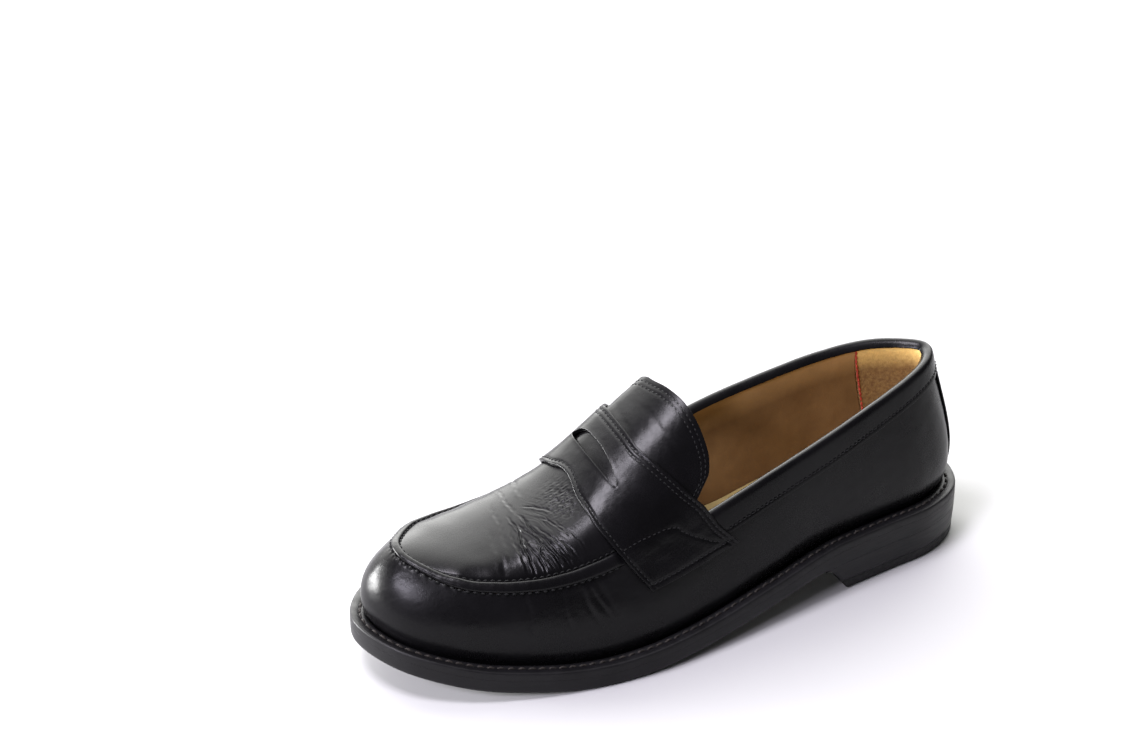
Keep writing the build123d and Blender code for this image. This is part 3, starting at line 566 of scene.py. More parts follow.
class Paint(Nodes):
    """Wires a Principled material in object space, in metres."""

    def __init__(self, name, colour, roughness, **sockets):
        self.material = bpy.data.materials.new(name)
        self.material.use_nodes = True
        super().__init__(self.material.node_tree)
        self.shader = self.tree.nodes["Principled BSDF"]
        self.shader.inputs["Base Color"].default_value = (*colour, 1)
        self.shader.inputs["Roughness"].default_value = roughness
        for socket, value in sockets.items():
            self.shader.inputs[socket.replace("_", " ")].default_value = value
        self.place = self.add("ShaderNodeTexCoord").outputs["Object"]
        self.surface = None

    def texture(self, kind, size_mm, stretch=(1, 1, 1), **sockets):
        """Texture node with features of about this size."""
        mapping = self.add("ShaderNodeMapping")
        self.link(self.place, mapping.inputs["Vector"])
        mapping.inputs["Scale"].default_value = [1 / (size_mm * MM * k) for k in stretch]
        node = self.add(kind)
        for socket, value in {"Scale": 1.0, **sockets}.items():
            node.inputs[socket].default_value = value
        self.link(mapping.outputs["Vector"], node.inputs["Vector"])
        return node

    def noise(self, size_mm, detail=4.0, stretch=(1, 1, 1), distortion=0.0):
        node = self.texture("ShaderNodeTexNoise", size_mm, stretch, Detail=detail, Distortion=distortion)
        return node.outputs["Fac"]

    def cells(self, size_mm):
        return self.texture("ShaderNodeTexVoronoi", size_mm).outputs["Distance"]

    def blend(self, a, share_a, b, share_b):
        """Sum of two values, each times its share."""
        parts = []
        for value, share in ((a, share_a), (b, share_b)):
            node = self.add("ShaderNodeMath", operation="MULTIPLY")
            self.link(value, node.inputs[0])
            node.inputs[1].default_value = share
            parts.append(node.outputs[0])
        total = self.add("ShaderNodeMath", operation="ADD")
        for value, socket in zip(parts, total.inputs):
            self.link(value, socket)
        return total.outputs[0]

    def roughness(self, value, low, high, start=0.3, end=0.7):
        self.link(self.ramp(value, low, high, start, end), self.shader.inputs["Roughness"])

    def colours(self, value, dark, light, start=0.3, end=0.7):
        """Base colour that varies between two colours."""
        node = self.add("ShaderNodeValToRGB")
        for stop, position, colour in zip(node.color_ramp.elements, (start, end), (dark, light)):
            stop.position = position
            stop.color = (*colour, 1)
        self.link(value, node.inputs["Fac"])
        self.link(node.outputs["Color"], self.shader.inputs["Base Color"])

    def bump(self, value, height_mm):
        """Adds a bump layer of this height."""
        node = self.add("ShaderNodeBump")
        node.inputs["Strength"].default_value = 1.0
        node.inputs["Distance"].default_value = height_mm * MM
        self.link(value, node.inputs["Height"])
        if self.surface is not None:
            self.link(self.surface, node.inputs["Normal"])
        self.surface = node.outputs["Normal"]
        self.link(self.surface, self.shader.inputs["Normal"])


def calf(name, roughness, grain=0.012):
    """Smooth polished black calf: pores, faint hair lines, uneven polish."""
    paint = Paint(name, (0.003, 0.0028, 0.0033), 0.3, Specular_IOR_Level=0.13)
    patches = paint.noise(22, 5)
    paint.colours(patches, (0.002, 0.0019, 0.0022), (0.0036, 0.0034, 0.004))
    paint.roughness(paint.blend(patches, 0.65, paint.noise(1.3, 6), 0.35), *roughness, 0.38, 0.62)
    paint.bump(paint.noise(9, 3), 0.10)
    paint.bump(paint.cells(0.75), grain)
    paint.bump(paint.noise(0.5, 3), grain * 0.8)
    return paint.material


# The top line falls about this much for each mm towards the toe, and is this high halfway along the shoe.
LINE_SLOPE = 0.19
LINE_HEIGHT = 58.1


def painted_rim_light(paint, mottle, low, high):
    """Painted light: 1 near the top line, where light falls into the shoe, and 0 deeper down in painted
    shade, broken up by a mottle.
    """
    height = paint.toward(paint.place, (0, -LINE_SLOPE, 1))
    ends = (LINE_HEIGHT - high) * MM, (LINE_HEIGHT - low) * MM
    return paint.blend(paint.ramp(height, 0, 1, *ends), 0.7, mottle, 0.45)


def tan_leather(name, dark, light, roughness, pore, depth=None):
    """Smooth tan leather; with a depth it gets painted light, paler near the top line and darker below in
    painted shade.
    """
    paint = Paint(name, light, 0.6, Specular_IOR_Level=0.3)
    mottle = paint.noise(18, 6)
    if depth:
        paint.colours(painted_rim_light(paint, mottle, *depth), dark, light, 0.12, 0.95)
    else:
        paint.colours(mottle, dark, light, 0.32, 0.68)
    paint.roughness(paint.noise(3, 4), *roughness)
    paint.bump(paint.noise(5, 4), 0.12)
    paint.bump(paint.cells(0.9), pore)
    return paint.material


def gold_suede():
    paint = Paint(
        "gold suede", (0.5, 0.3, 0.1), 0.95, Specular_IOR_Level=0.15, Sheen_Weight=0.5, Sheen_Roughness=0.45,
        Sheen_Tint=(1.0, 0.8, 0.45, 1),
    )
    # Painted light: the suede is golden where light falls near the top line and brown in painted shade
    # below, broken up by a fine nap mottle.
    rim_light_and_nap = painted_rim_light(paint, paint.noise(1.4, 8), 2, 12)
    paint.colours(rim_light_and_nap, (0.14, 0.068, 0.024), (0.74, 0.52, 0.19), 0.15, 0.95)
    paint.bump(paint.noise(0.5, 6), 0.25)
    paint.bump(paint.noise(2.5, 3), 0.3)
    return paint.material


EDGE_BLACK = (0.004, 0.0038, 0.0043)


def edge_paint(name, low, high, stretch):
    """Stained and burnished sole edge with fine marks along it."""
    paint = Paint(name, EDGE_BLACK, 0.4, Specular_IOR_Level=0.2)
    marks = paint.noise(2.2, 6, stretch)
    paint.colours(paint.noise(12, 5), EDGE_BLACK, tuple(k * 1.7 for k in EDGE_BLACK))
    paint.roughness(marks, low, high)
    paint.bump(marks, 0.05)
    paint.bump(paint.noise(0.8, 4), 0.03)
    return paint.material


def thread(name, dark, light):
    paint = Paint(name, light, 0.6, Specular_IOR_Level=0.15, Sheen_Weight=0.03)
    paint.colours(paint.noise(1.2, 3), dark, light)
    paint.bump(paint.noise(0.55, 2, (1, 1, 0.4), 1.0), 0.12)
    return paint.material


# Each finish is a material and the slot that its pieces belong to.
black = calf("black calf", (0.25, 0.34)), "calf_black"
black_apron = calf("black calf apron", (0.23, 0.33)), "calf_black"
black_strap = calf("black calf strap", (0.21, 0.3), 0.010), "calf_black"
# The tan lining's dark and light colours are shaded and lit copies: with the depth (1, 13) the light one is
# painted light near the top line and the dark one painted shade below, mixed with a random mottle.
tan_colours = (0.125, 0.066, 0.025), (0.42, 0.26, 0.11)
tan = tan_leather("tan lining", *tan_colours, (0.42, 0.6), 0.02, (1, 13)), "tan_leather"
sock_colours = (0.21, 0.16, 0.062), (0.31, 0.24, 0.10)
sock_tan = tan_leather("tan sock", *sock_colours, (0.38, 0.55), 0.02), "tan_leather"
tongue_colours = (0.14, 0.065, 0.028), (0.24, 0.12, 0.05)
tongue_brown = tan_leather("tongue lining", *tongue_colours, (0.5, 0.7), 0.03), "tan_leather"
suede = gold_suede(), "suede_gold"
sole_black = edge_paint("sole edge", 0.34, 0.5, (5, 5, 0.5)), "sole_black"
welt_black = edge_paint("welt", 0.36, 0.52, (2, 2, 1)), "sole_black"
heel_black = edge_paint("heel stack", 0.34, 0.5, (6, 6, 0.6)), "sole_black"
black_thread = thread("black thread", (0.002, 0.002, 0.0022), (0.006, 0.0059, 0.0063)), "thread_black"
taupe_thread = thread("taupe thread", (0.006, 0.0055, 0.005), (0.034, 0.029, 0.025)), "thread_taupe"
red_thread = thread("red thread", (0.28, 0.03, 0.02), (0.5, 0.08, 0.05)), "thread_red"

rubber_paint = Paint("top lift rubber", (0.007, 0.007, 0.0073), 0.6, Specular_IOR_Level=0.25)
rubber_paint.roughness(rubber_paint.noise(2, 5), 0.5, 0.72)
rubber_paint.bump(rubber_paint.noise(0.6, 5), 0.06)
rubber = rubber_paint.material, "heel_rubber"

cloth_paint = Paint("stiffener cloth", (0.6, 0.55, 0.46), 0.9)
cloth_paint.bump(cloth_paint.noise(0.6, 2), 0.1)
cork_paint = Paint("cork", (0.4, 0.26, 0.15), 0.85)
cork_paint.colours(cork_paint.noise(1.5, 6), (0.22, 0.13, 0.07), (0.5, 0.34, 0.2))
board_paint = Paint("insole board", (0.42, 0.3, 0.19), 0.75)
board_paint.colours(board_paint.noise(8, 5), (0.34, 0.23, 0.14), (0.5, 0.37, 0.25))
steel_paint = Paint("shank steel", (0.5, 0.5, 0.52), 0.35, Metallic=1.0)
steel_paint.roughness(steel_paint.noise(1.5, 4, (1, 12, 1)), 0.25, 0.45)

# Pieces inside the shoe keep their CAD shape and get a material.
INSIDE_PIECES = {
    cloth_paint: ("heel_counter", "toe_puff", "interlining_lateral", "interlining_medial"),
    cork_paint: ("cork_filler",),
    board_paint: ("insole_board",),
    steel_paint: ("shank", "heel_nails"),
}
for paint, names in INSIDE_PIECES.items():
    for node in names:
        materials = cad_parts[node].data.materials
        materials.clear()
        materials.append(paint.material)


# ------------------------ sole unit
RING = 260


def ring_stations():
    """Matching station numbers down the lateral and the medial side, from heel to toe."""
    lateral = np.linspace(0, TOE_STATION, RING)
    numbers = np.linspace(LAPS, TOE_STATION, 1200)
    medial = np.interp(loop(SOLE_EDGE, lateral)[..., 1], loop(SOLE_EDGE, numbers)[..., 1], numbers)
    return lateral, medial


def sole_rings(profile, heel_profile=None):
    """Rings of points round the sole, one for each (inset, height) of an edge profile."""
    lateral, medial = ring_stations()
    u = np.concatenate([lateral, medial[-2:0:-1]])
    over_heel = 1 - step(79, 84, loop(SOLE_EDGE, u)[..., 1])
    rings = []
    for row, heel_row in zip(profile, heel_profile or profile):
        inset, height = [a + (b - a) * over_heel for a, b in zip(row, heel_row)]
        rings.append(sole_line(u, inset, height))
    return np.stack(rings)


def cap(ring, first, first_new, columns=8):
    """Crosswise strips that close a ring of the sole, whose points are numbered from first."""
    count = len(ring)
    left = ring[:RING]
    right = np.concatenate([ring[:1], ring[:RING - 1:-1], ring[RING - 1:RING]])
    new, index = [], np.zeros((RING, columns + 1), int)
    for i in range(RING):
        index[i] = first + i
        if 0 < i < RING - 1:
            index[i, columns] = first + count - i
            for j in range(1, columns):
                t = j / columns
                new.append(left[i] * (1 - t) + right[i] * t)
                index[i, j] = first_new + len(new) - 1
    faces = []
    for i in range(RING - 1):
        for j in range(columns):
            quad = [index[i, j], index[i + 1, j], index[i + 1, j + 1], index[i, j + 1]]
            face = [k for n, k in enumerate(quad) if k not in quad[:n]]
            if len(face) > 2:
                faces.append(tuple(int(k) for k in face))
    return new, faces


def sole_body(name, profile, heel_profile, finish, node):
    """Closed slab of the sole from its edge profile, capped at the bottom and at the top."""
    rings = sole_rings(profile, heel_profile)
    count = rings.shape[1]
    points = list(rings.reshape(-1, 3))
    faces = [face[::-1] for face in grid_faces(len(profile), count, close_columns=True)]
    new, low = cap(rings[0], 0, len(points))
    points += new
    new, high = cap(rings[-1], (len(profile) - 1) * count, len(points))
    points += new
    faces += low + [face[::-1] for face in high]
    return add_mesh(name, np.array(points), faces, finish, node)


EDGE_INSET = 0.06
outsole_profile = [
    (6, 0), (3, 0.0), (1.4, 0.04), (0.75, 0.2), (0.35, 0.6), (0.14, 1.3), (EDGE_INSET, 2.6), (0.04, 4.2),
    (0.04, 5.6), (EDGE_INSET, 6.3), (EDGE_INSET, 6.38), (0.1, OUTSOLE_THICKNESS), (0.6, OUTSOLE_THICKNESS),
    (6, OUTSOLE_THICKNESS),
]
# Over the heel the outsole's lower corner is sharp, so that it runs flush into the heel stack.
heel_profile = [
    (6, 0), (3, 0.0), (0.5, 0.0), (0.1, 0.0), (EDGE_INSET, 0.04), (EDGE_INSET, 0.12),
] + outsole_profile[6:]
sole_body("outsole_shaped", outsole_profile, heel_profile, sole_black, "outsole")

welt_profile = [
    (7.4, 6.42), (0.6, 6.42), (0.1, 6.42), (EDGE_INSET, 6.46), (EDGE_INSET, 6.54), (0.04, 7.3), (0.06, 8.4),
    (0.12, 9.2), (0.3, 9.75), (0.7, 10.03), (1.3, 10.12), (2.9, 10.1), (3.5, 9.9), (4.1, 9.72), (4.7, 9.9),
    (5.2, 10.1), (6.0, 10.05), (6.6, 9.7), (7.4, 9.0),
]
welt_rings = sole_rings(welt_profile)
welt_faces = grid_faces(*welt_rings.shape[:2], close_rows=True, close_columns=True)
welt_faces = [face[::-1] for face in welt_faces]
add_mesh("welt_shaped", welt_rings.reshape(-1, 3), welt_faces, welt_black, "welt")


def heel_piece(name, levels, finish, node):
    """Heel block by levels (z, inset): a round back and a concave breast, capped both ways."""
    rings = []
    for z, inset in levels:
        breast = float(np.interp(z, HEEL_BREAST_HEIGHTS, HEEL_BREAST_S)) - max(inset - 0.2, 0)
        numbers = np.linspace(0, 6, 400)
        medial, lateral = [
            float(np.interp(breast, sole_line(side * numbers, inset, 0)[:, 1], numbers)) for side in (-1, 1)
        ]
        around = sole_line(np.linspace(-medial, lateral, 120), inset, 0)
        around[:, 2] = np.minimum(z, sole_bottom(around[:, 1]) - 0.02)
        t = np.linspace(0, 1, 26)[1:-1, None]
        rings.append(np.concatenate([around, around[-1] * (1 - t) + around[0] * t]))
    count = len(rings[0])
    points = list(np.concatenate(rings))
    faces = [face[::-1] for face in grid_faces(len(rings), count, close_columns=True)]
    for ring in (0, len(rings) - 1):
        hub = len(points)
        points.append(rings[ring].mean(0))
        for j in range(count):
            a, b = ring * count + j, ring * count + (j + 1) % count
            faces.append((a, hub, b) if ring else (b, hub, a))
    return add_mesh(name, np.array(points), faces, finish, node)


seat = HEEL_SEAT - CEMENT_GAP
low = TOP_LIFT_HEIGHT + CEMENT_GAP
stack_levels = [
    (low - 0.15, 0.6), (low, 0.45), (low + 1.5, 0.35), (low + 3, 0.28), (low + 4.5, 0.2), (low + 6, 0.15),
    (low + 7.5, 0.1), (seat - 0.5, EDGE_INSET), (seat + 0.08, EDGE_INSET), (seat + 0.17, EDGE_INSET),
    (seat + 0.17, 0.5),
]
heel_piece("heel_shaped", stack_levels, heel_black, "heel_stack")
top_lift_levels = [
    (0.0, 2.4), (0.08, 1.8), (0.35, 1.2), (0.9, 0.75), (1.8, 0.52), (3.2, 0.48), (4.5, 0.46),
    (TOP_LIFT_HEIGHT, 0.6),
]
heel_piece("top_lift_shaped", top_lift_levels, rubber, "top_lift")

welt_line = sole_line(np.linspace(0, LAPS, 2400), 4.1, 9.85)
welt_row = welt_line, np.tile(UP, (len(welt_line), 1))
tube_rows(
    "welt_thread", [welt_row], 0.52, WELT_STITCH_PITCH, taupe_thread, "welt_stitches", arch=0.5, fill=0.86
)


# ------------------------ upper: wall
# Flex pleats under the seam: s at the top, lean towards the heel, depth, width.
PLEATS = [
    (218.5, -5, 0.22, 2.2), (205.0, -8, 0.18, 1.6), (196.0, -12, 0.34, 2.0), (192.5, -13, 0.26, 1.3),
    (187.5, -9, 0.14, 2.4),
]
# Length of the wall between two stations at the toe.
STATION_MM = 26.0


def wall_relief(u, v, point):
    """Lasting unevenness, flex pleats under the seam, puckers at the stitches."""
    x, s, z = np.moveaxis(point, -1, 0)
    depth = 1 - v
    relief = 0.10 * waves(s, z * 1.3 + x, 3, 42)
    relief = relief + 0.03 * waves(s, z * 1.2 - x, 5, 9)
    fall = step(0.02, 0.12, depth) * (1 - step(0.42, 0.62, depth))
    for number, (start, lean, size, width) in enumerate(PLEATS):
        across = s - (start + lean * depth + (x < 0) * (3 - number) * 1.5)
        bend = across + 0.9 * np.sin(depth * 9 + number)
        relief = relief + fall * size * (bell(bend, width) - 0.9 * bell(bend - width, 0.6 * width))
    rim = bell(depth - 0.02, 0.03) * step(182, 190, s)
    relief = relief - rim * 0.22 * ripple(u * STATION_MM, MOC_STITCH_PITCH)
    return relief - 0.25 * bell(v - 0.015, 0.035)


WALL_FOOT = -0.045
u, part = grid(np.linspace(0, LAPS, 1100, endpoint=False), 1 - (1 - np.linspace(0, 1, 56)) ** 1.25)
beside_apron = step(STRAP_LATERAL + 0.8, STRAP_LATERAL + 1.6, from_heel(u))
top = depth_to_v(u, rim_drop(u) - 0.9 * beside_apron)
v = WALL_FOOT + (top - WALL_FOOT) * part
wall_layers = layers(wall, wall_normal, u, v, wall_relief(u, v, wall(u, v)), -LEATHER)
sheet("upper_wall_leather", *wall_layers, black, "upper_wall", 0.3, close_rows=True)


# ------------------------ upper: apron
CREASE_STRENGTH = 1.35
# Flex creases across the apron: x knots, s knots, depth, width.
CREASES = [
    ((0, 11, 19, 26, 33), (211, 211.2, 212.6, 213, 212), 0.34, 0.50),
    ((2, 14, 24, 31, 36), (207.5, 206, 203, 200, 197.5), 0.44, 0.55),
    ((6, 13, 20, 29, 35), (210, 208.6, 206.2, 203.4, 202), 0.40, 0.50),
    ((14, 23, 29, 34), (211.2, 210.2, 209, 207.8), 0.34, 0.45),
    ((18, 22, 26), (210, 207.2, 208), 0.24, 0.40),
    ((22, 30, 35), (208.4, 206, 204), 0.30, 0.42),
    ((26, 32, 36), (201.6, 198.6, 195.8), 0.26, 0.40),
    ((24, 30, 35), (199.6, 196, 193), 0.20, 0.38),
    ((12, 22, 31), (204.4, 201.6, 197.6), 0.24, 0.40),
    ((0, 5, 10), (204, 200, 196), 0.14, 0.50),
    ((10, 17, 24), (201, 198, 195), 0.16, 0.40),
    ((14, 24, 31), (197.4, 194.2, 190.6), 0.12, 0.40),
    ((8, 20, 30), (213.4, 215.4, 215), 0.14, 0.60),
    ((-12, -1, 9, 22), (213, 215, 217, 220), 0.13, 0.80),
    ((-24, -10, 2), (205, 207.4, 208.4), 0.16, 0.70),
    ((-28, -16, -6), (196, 199.6, 202), 0.15, 0.80),
    ((2, 16, 28), (220.5, 222.6, 224.4), 0.09, 1.10),
]


def crease(x, s, knots_x, knots_s, depth, width, seed):
    """Valley with soft shoulders along a line across the apron that wanders a little."""
    wander = 0.28 * np.sin(x * 0.45 + seed) + 0.12 * np.sin(x * 1.5 + 2 * seed)
    line = smooth(knots_x, knots_s, np.clip(x, knots_x[0], knots_x[-1])) + wander
    length = knots_x[-1] - knots_x[0]
    across = (s - line) / math.hypot(1, (knots_s[-1] - knots_s[0]) / length)
    inside = step(-1, length * 0.25, x - knots_x[0]) * step(-1.5, length * 0.12, knots_x[-1] - x)
    ridge = 0.55 * bell(across - 1.7 * width, 0.9 * width)
    return CREASE_STRENGTH * depth * inside * (ridge - bell(across, width))


def apron_relief(x, s):
    """Flex creases across the apron, with finer wrinkling between them and towards the strap."""
    relief = 0.09 * waves(x, s, 11, 30)
    for number, (knots_x, knots_s, depth, width) in enumerate(CREASES):
        relief = relief + crease(x, s, knots_x, knots_s, depth, width, number * 1.7)
    along = 0.95 * x - 0.32 * s
    across = 0.32 * x + 0.95 * s + 0.8 * waves(x, s, 24, 15, 2)
    flexed = step(189, 196, s) * (1 - step(208, 213, s)) * step(-8, 12, x)
    lines = np.clip(1 - 2.2 * np.abs(waves(along * 0.13, across, 23, 5.0, 2)), 0, 1)
    relief = relief - 0.08 * flexed * lines**2
    crumpled = bell(s - 191, 5.5) * bell(x - 8, 9)
    fans = bell(s - 200, 4) * bell(x - 9, 10)
    relief = relief + 0.09 * fans * waves(along * 0.25, across, 26, 2.2, 2)
    return relief + 0.18 * crumpled * waves(x, s, 25, 2.6, 2)


def seam_limit(inset, side):
    """Inset seam line on one side, as s and x."""
    numbers = np.linspace(station_at(APRON_REAR_S - 4, side), TOE_STATION, 500)
    line = seam_point(numbers, inset)
    return line[:, 1], line[:, 0]


CREASED_START_S = 186
CREASED_END_S = 217
CREASED_PART = 0.36
APRON_TIP = 8


def apron_grid(inset, density=1.0):
    """Grid over the apron inside a seam line, finest where it is creased."""
    lateral_s, lateral_x = seam_limit(inset, 1)
    medial_s, medial_x = seam_limit(inset, -1)
    front = min(lateral_s.max(), medial_s.max()) - 0.05
    rear, creased, fore, tip, plain, fine = [int(count * density) for count in (26, 150, 50, 46, 40, 190)]
    tip_s = front - APRON_TIP * (1 - np.linspace(0, 1, tip)) ** 2
    s = stretches(
        (APRON_REAR_S, CREASED_START_S, rear), (CREASED_START_S, CREASED_END_S, creased),
        (CREASED_END_S, front - APRON_TIP, fore),
    )
    k = stretches((0, CREASED_PART, plain), (CREASED_PART, 1, fine))
    s, k = grid(np.concatenate([s[:-1], tip_s]), k)
    low_x = np.interp(s, medial_s, medial_x)
    high_x = np.interp(s, lateral_s, lateral_x)
    return low_x + (high_x - low_x) * k, s


x, s = apron_grid(1.6)
tuck = np.minimum(np.abs(x - x[:, :1]), np.abs(x - x[:, -1:]))
groove = 0.4 * bell(tuck - 1.7, 0.9) * step(176, 184, s)
relief = apron_relief(x, s) * step(1.5, 4.5, tuck) - groove
sheet("apron_leather", *layers(apron_face, apron_normal, x, s, relief, -LEATHER), black_apron, "apron", 0.2)
linings = layers(apron_face, apron_normal, *apron_grid(2.4, 0.3), -LINING_OUT, -LINING_IN)
sheet("apron_lining_sheet", *linings, tan, "apron_lining", 0.15)

# Raised roll between the two rows of the moccasin seam. It runs on under the strap at both ends.
rows, columns = 1500, 20
ROLL_UNDER_STRAP = 5
u, angle = grid(
    round_toe(SEAM_ROLL_END_S - ROLL_UNDER_STRAP, rows), np.linspace(0, 2 * np.pi, columns, endpoint=False)
)
width = SEAM_ROLL_WIDTH + 0.4
across = width / 2 - 0.2 - width / 2 * signed_power(np.cos(angle), 0.75)
bulge = signed_power(np.sin(angle), 0.8)
near_strap = strap_front(0.95) - loop(TOP_EDGE, u)[..., 1]
ends = 1 - step(-3.5, 0.5, near_strap)
run = run_along(loop(TOP_EDGE, u[:, 0]))[:, None]
outer_side = step(0.6, 0.0, across / width)
pucker = 1 - 0.07 * outer_side * ripple(run, MOC_STITCH_PITCH)
pucker = pucker - 0.02 * (1 - outer_side) * ripple(run, FINE_STITCH_PITCH)
height = 0.3 * ends + np.where(bulge > 0, 1.15 * bulge * pucker * (0.2 + 0.8 * ends), 1.7 * bulge)
height = height + 0.06 * ends * waves(run + 0 * across, across, 31, 14)
along = unit(loop(TOP_EDGE, u + 1e-3) - loop(TOP_EDGE, u - 1e-3))
sideways = unit(seam_point(u, across + 0.5) - seam_point(u, across - 0.5))
roll_up = unit(np.cross(sideways, along))
roll_up = roll_up * np.sign(roll_up[..., 2:3])
points = seam_point(u, across) + roll_up * height[..., None]
faces = grid_faces(rows, columns, close_columns=True)
faces += [tuple(range(columns))[::-1], tuple((rows - 1) * columns + j for j in range(columns))]
add_mesh("seam_roll_leather", points.reshape(-1, 3), faces, black, "seam_roll")


def wall_row(u, depth, lift):
    """Stitch line at a depth below the top line, lifted off the wall, and its normals."""
    v = depth_to_v(u, depth)
    out = wall_normal(u, v)
    return wall(u, v) + out * lift, out


u = round_toe(179, 1600)
moc_row = wall_row(u, 0.55, 0.25)
moc_pitch = MOC_STITCH_PITCH * 0.62
tube_rows("moc_thread", [moc_row], 0.42, moc_pitch, black_thread, "moc_stitches", arch=0.5, fill=0.62)
plug_row = seam_point(u, SEAM_ROLL_WIDTH + 0.6), np.tile(UP, (len(u), 1))
tube_rows("plug_thread", [plug_row], 0.34, FINE_STITCH_PITCH, black_thread, "plug_stitches", fill=0.7)


# ------------------------ upper: tongue and strap
# Distance over the instep for one unit of q.
Q_MM = 42
TONGUE_STITCHES = (2.0, 4.0)
q, part = grid(np.linspace(-TONGUE_HALF, TONGUE_HALF, 150), np.linspace(0, 1, 100))
tip = tongue_tip(q)
s = TONGUE_FRONT_S + (tip - TONGUE_FRONT_S) * part
rim = s - tip
x = q * Q_MM
relief = 0.10 * waves(x, s, 41, 26) + 0.03 * waves(x, s * 0.7, 42, 6)
for inset in TONGUE_STITCHES:
    relief = relief - 0.09 * bell(rim - inset, 0.5)
relief = relief + crease(x, s, (-30, -10, 10), (152, 155, 158), 0.08, 1.3, 0)
relief = relief + crease(x, s, (4, 20, 38), (150, 146, 141), 0.06, 1.2, 2)
tongue_layers = layers(saddle, saddle_normal, s, q, relief, -LEATHER)
sheet("tongue_leather", *tongue_layers, black_strap, "tongue", 0.5)
s = TONGUE_FRONT_S + (tip + 1.6 - TONGUE_FRONT_S) * part
tongue_layers = layers(saddle, saddle_normal, s, q * 0.985, -1.36, -2.4)
sheet("tongue_lining_leather", *tongue_layers, tongue_brown, "tongue_lining", 0.3)


def slot_edge(q, rear):
    """Edge of the coin slot, meeting the other edge at both its ends."""
    t = np.clip((q - STRAP_CENTRE) / SLOT_HALF_WIDTH, -1, 1)
    bulge = (1 - t**2) ** 0.75
    return SLOT_S - SLOT_REAR_BULGE * bulge if rear else SLOT_S + SLOT_FRONT_BULGE * bulge


def split_line(q, rear):
    """Line from tab to tab along the strap that passes round one side of the slot."""
    outside = np.clip(np.abs(q - STRAP_CENTRE) / SLOT_HALF_WIDTH - 1, 0, None)
    blend = step(0, 1.4, outside)
    middle = (strap_rear(q) + strap_front(q)) / 2
    return slot_edge(q, rear) * (1 - blend) + middle * blend


# Stitching that boxes in each tab of the strap: s, q.
BOX_ROW = [
    (177.5, 0.885), (169, 0.89), (158, 0.92), (152.5, 0.955), (149.5, 1.03), (146, 1.12), (139, 1.25),
    (129.5, 1.37),
]
# Distance down the tabs for one unit of q.
TAB_Q_MM = 40
# Stitch lines along the strap, in mm from its rear and front edges.
REAR_STITCHES = (1.5, 3.4)
FRONT_STITCHES = 1.7


def box_row(count):
    places = np.linspace(0, len(BOX_ROW) - 1, count)
    return [np.interp(places, range(len(BOX_ROW)), column) for column in zip(*BOX_ROW)]


def strap_relief(q, s):
    """Unevenness, grooves along the stitching, pressed edges, and a swell between the two edges."""
    rear, front = strap_rear(q), strap_front(q)
    relief = 0.08 * waves(q * 44, s, 51, 24) + 0.03 * waves(q * 44, s, 52, 7)
    for inset, size in zip(REAR_STITCHES, (0.2, 0.18)):
        relief = relief - size * bell(s - rear - inset, 0.55)
    relief = relief - 0.22 * bell(front - s - FRONT_STITCHES, 0.55)
    relief = relief + 0.16 * bell(front - s - 0.6, 0.7) + 0.1 * bell(s - rear - 0.5, 0.6)
    for side in (1, -1):
        away = np.full(np.shape(s), 99.0)
        for row_s, row_q in zip(*box_row(60)):
            away = np.minimum(away, np.hypot(s - row_s, (q - side * row_q) * TAB_Q_MM))
        relief = relief - 0.14 * bell(away, 0.7)
    relief = relief - 0.18 * bell((TAB_DEPTH - np.abs(q)) * TAB_Q_MM - 2.4, 0.6)
    swell = np.sin(np.pi * np.clip((s - rear) / (front - rear), 0, 1))
    return relief + 0.35 * bell(q - STRAP_CENTRE, 0.5) * swell


# The strap is two bands, one behind and one in front of the slot.
BAND_ROWS = 40
BAND_COLUMNS = 281
band_q = np.linspace(-TAB_DEPTH, TAB_DEPTH, BAND_COLUMNS)
slot_ends = []
for end in (STRAP_CENTRE - SLOT_HALF_WIDTH, STRAP_CENTRE + SLOT_HALF_WIDTH):
    slot_ends.append(np.argmin(np.abs(band_q - end)))
    band_q[slot_ends[-1]] = end
near_start, near_end = slot_ends
part = np.linspace(0, 1, BAND_ROWS)
bands = []
for rear_band in (True, False):
    middle = split_line(band_q, rear_band)
    start = strap_rear(band_q) if rear_band else middle
    end = middle if rear_band else strap_front(band_q)
    bands.append(start[:, None] + (end - start)[:, None] * part)
s = np.concatenate(bands, 1)
columns = 2 * BAND_ROWS
q = band_q[:, None] * np.ones((1, columns))
beside_slot = (q > band_q[near_start]) & (q < band_q[near_end])
slot_gap = np.minimum(np.abs(s - slot_edge(q, True)), np.abs(s - slot_edge(q, False)))
lip_rise = 0.12 * beside_slot * bell(slot_gap, 0.8)
strap_height = STRAP_LIFT + STRAP_THICKNESS + strap_relief(q, s) + lip_rise
outer, inner = layers(saddle, saddle_normal, s, q, strap_height, STRAP_LIFT)
# The bands share their middle line except beside the slot, where they stay apart.
index = np.arange(BAND_COLUMNS * columns).reshape(BAND_COLUMNS, columns)
for i in range(BAND_COLUMNS):
    if i <= near_start or i >= near_end:
        index[i, BAND_ROWS] = index[i, BAND_ROWS - 1]
faces = []
for quad in grid_faces(BAND_COLUMNS, columns):
    if quad[0] % columns != BAND_ROWS - 1:
        faces.append(tuple(int(index.flat[k]) for k in quad))
if outward_sign(outer[:, :BAND_ROWS], inner[:, :BAND_ROWS]) < 0:
    faces = [corners[::-1] for corners in faces]
points, closed, border = thick(outer.reshape(-1, 3), inner.reshape(-1, 3), faces)
used = sorted({k for corners in closed for k in corners})
number_of = {k: number for number, k in enumerate(used)}
closed, border = [[tuple(number_of[k] for k in corners) for corners in group] for group in (closed, border)]
add_mesh("saddle_strap_leather", points[used], closed, black_strap, "saddle_strap", 0.42, border)


def saddle_row(q, s, lift):
    """Stitch line over the instep, lifted off the saddle surface, and its normals."""
    out = saddle_normal(s, q)
    return saddle(s, q) + out * lift, out


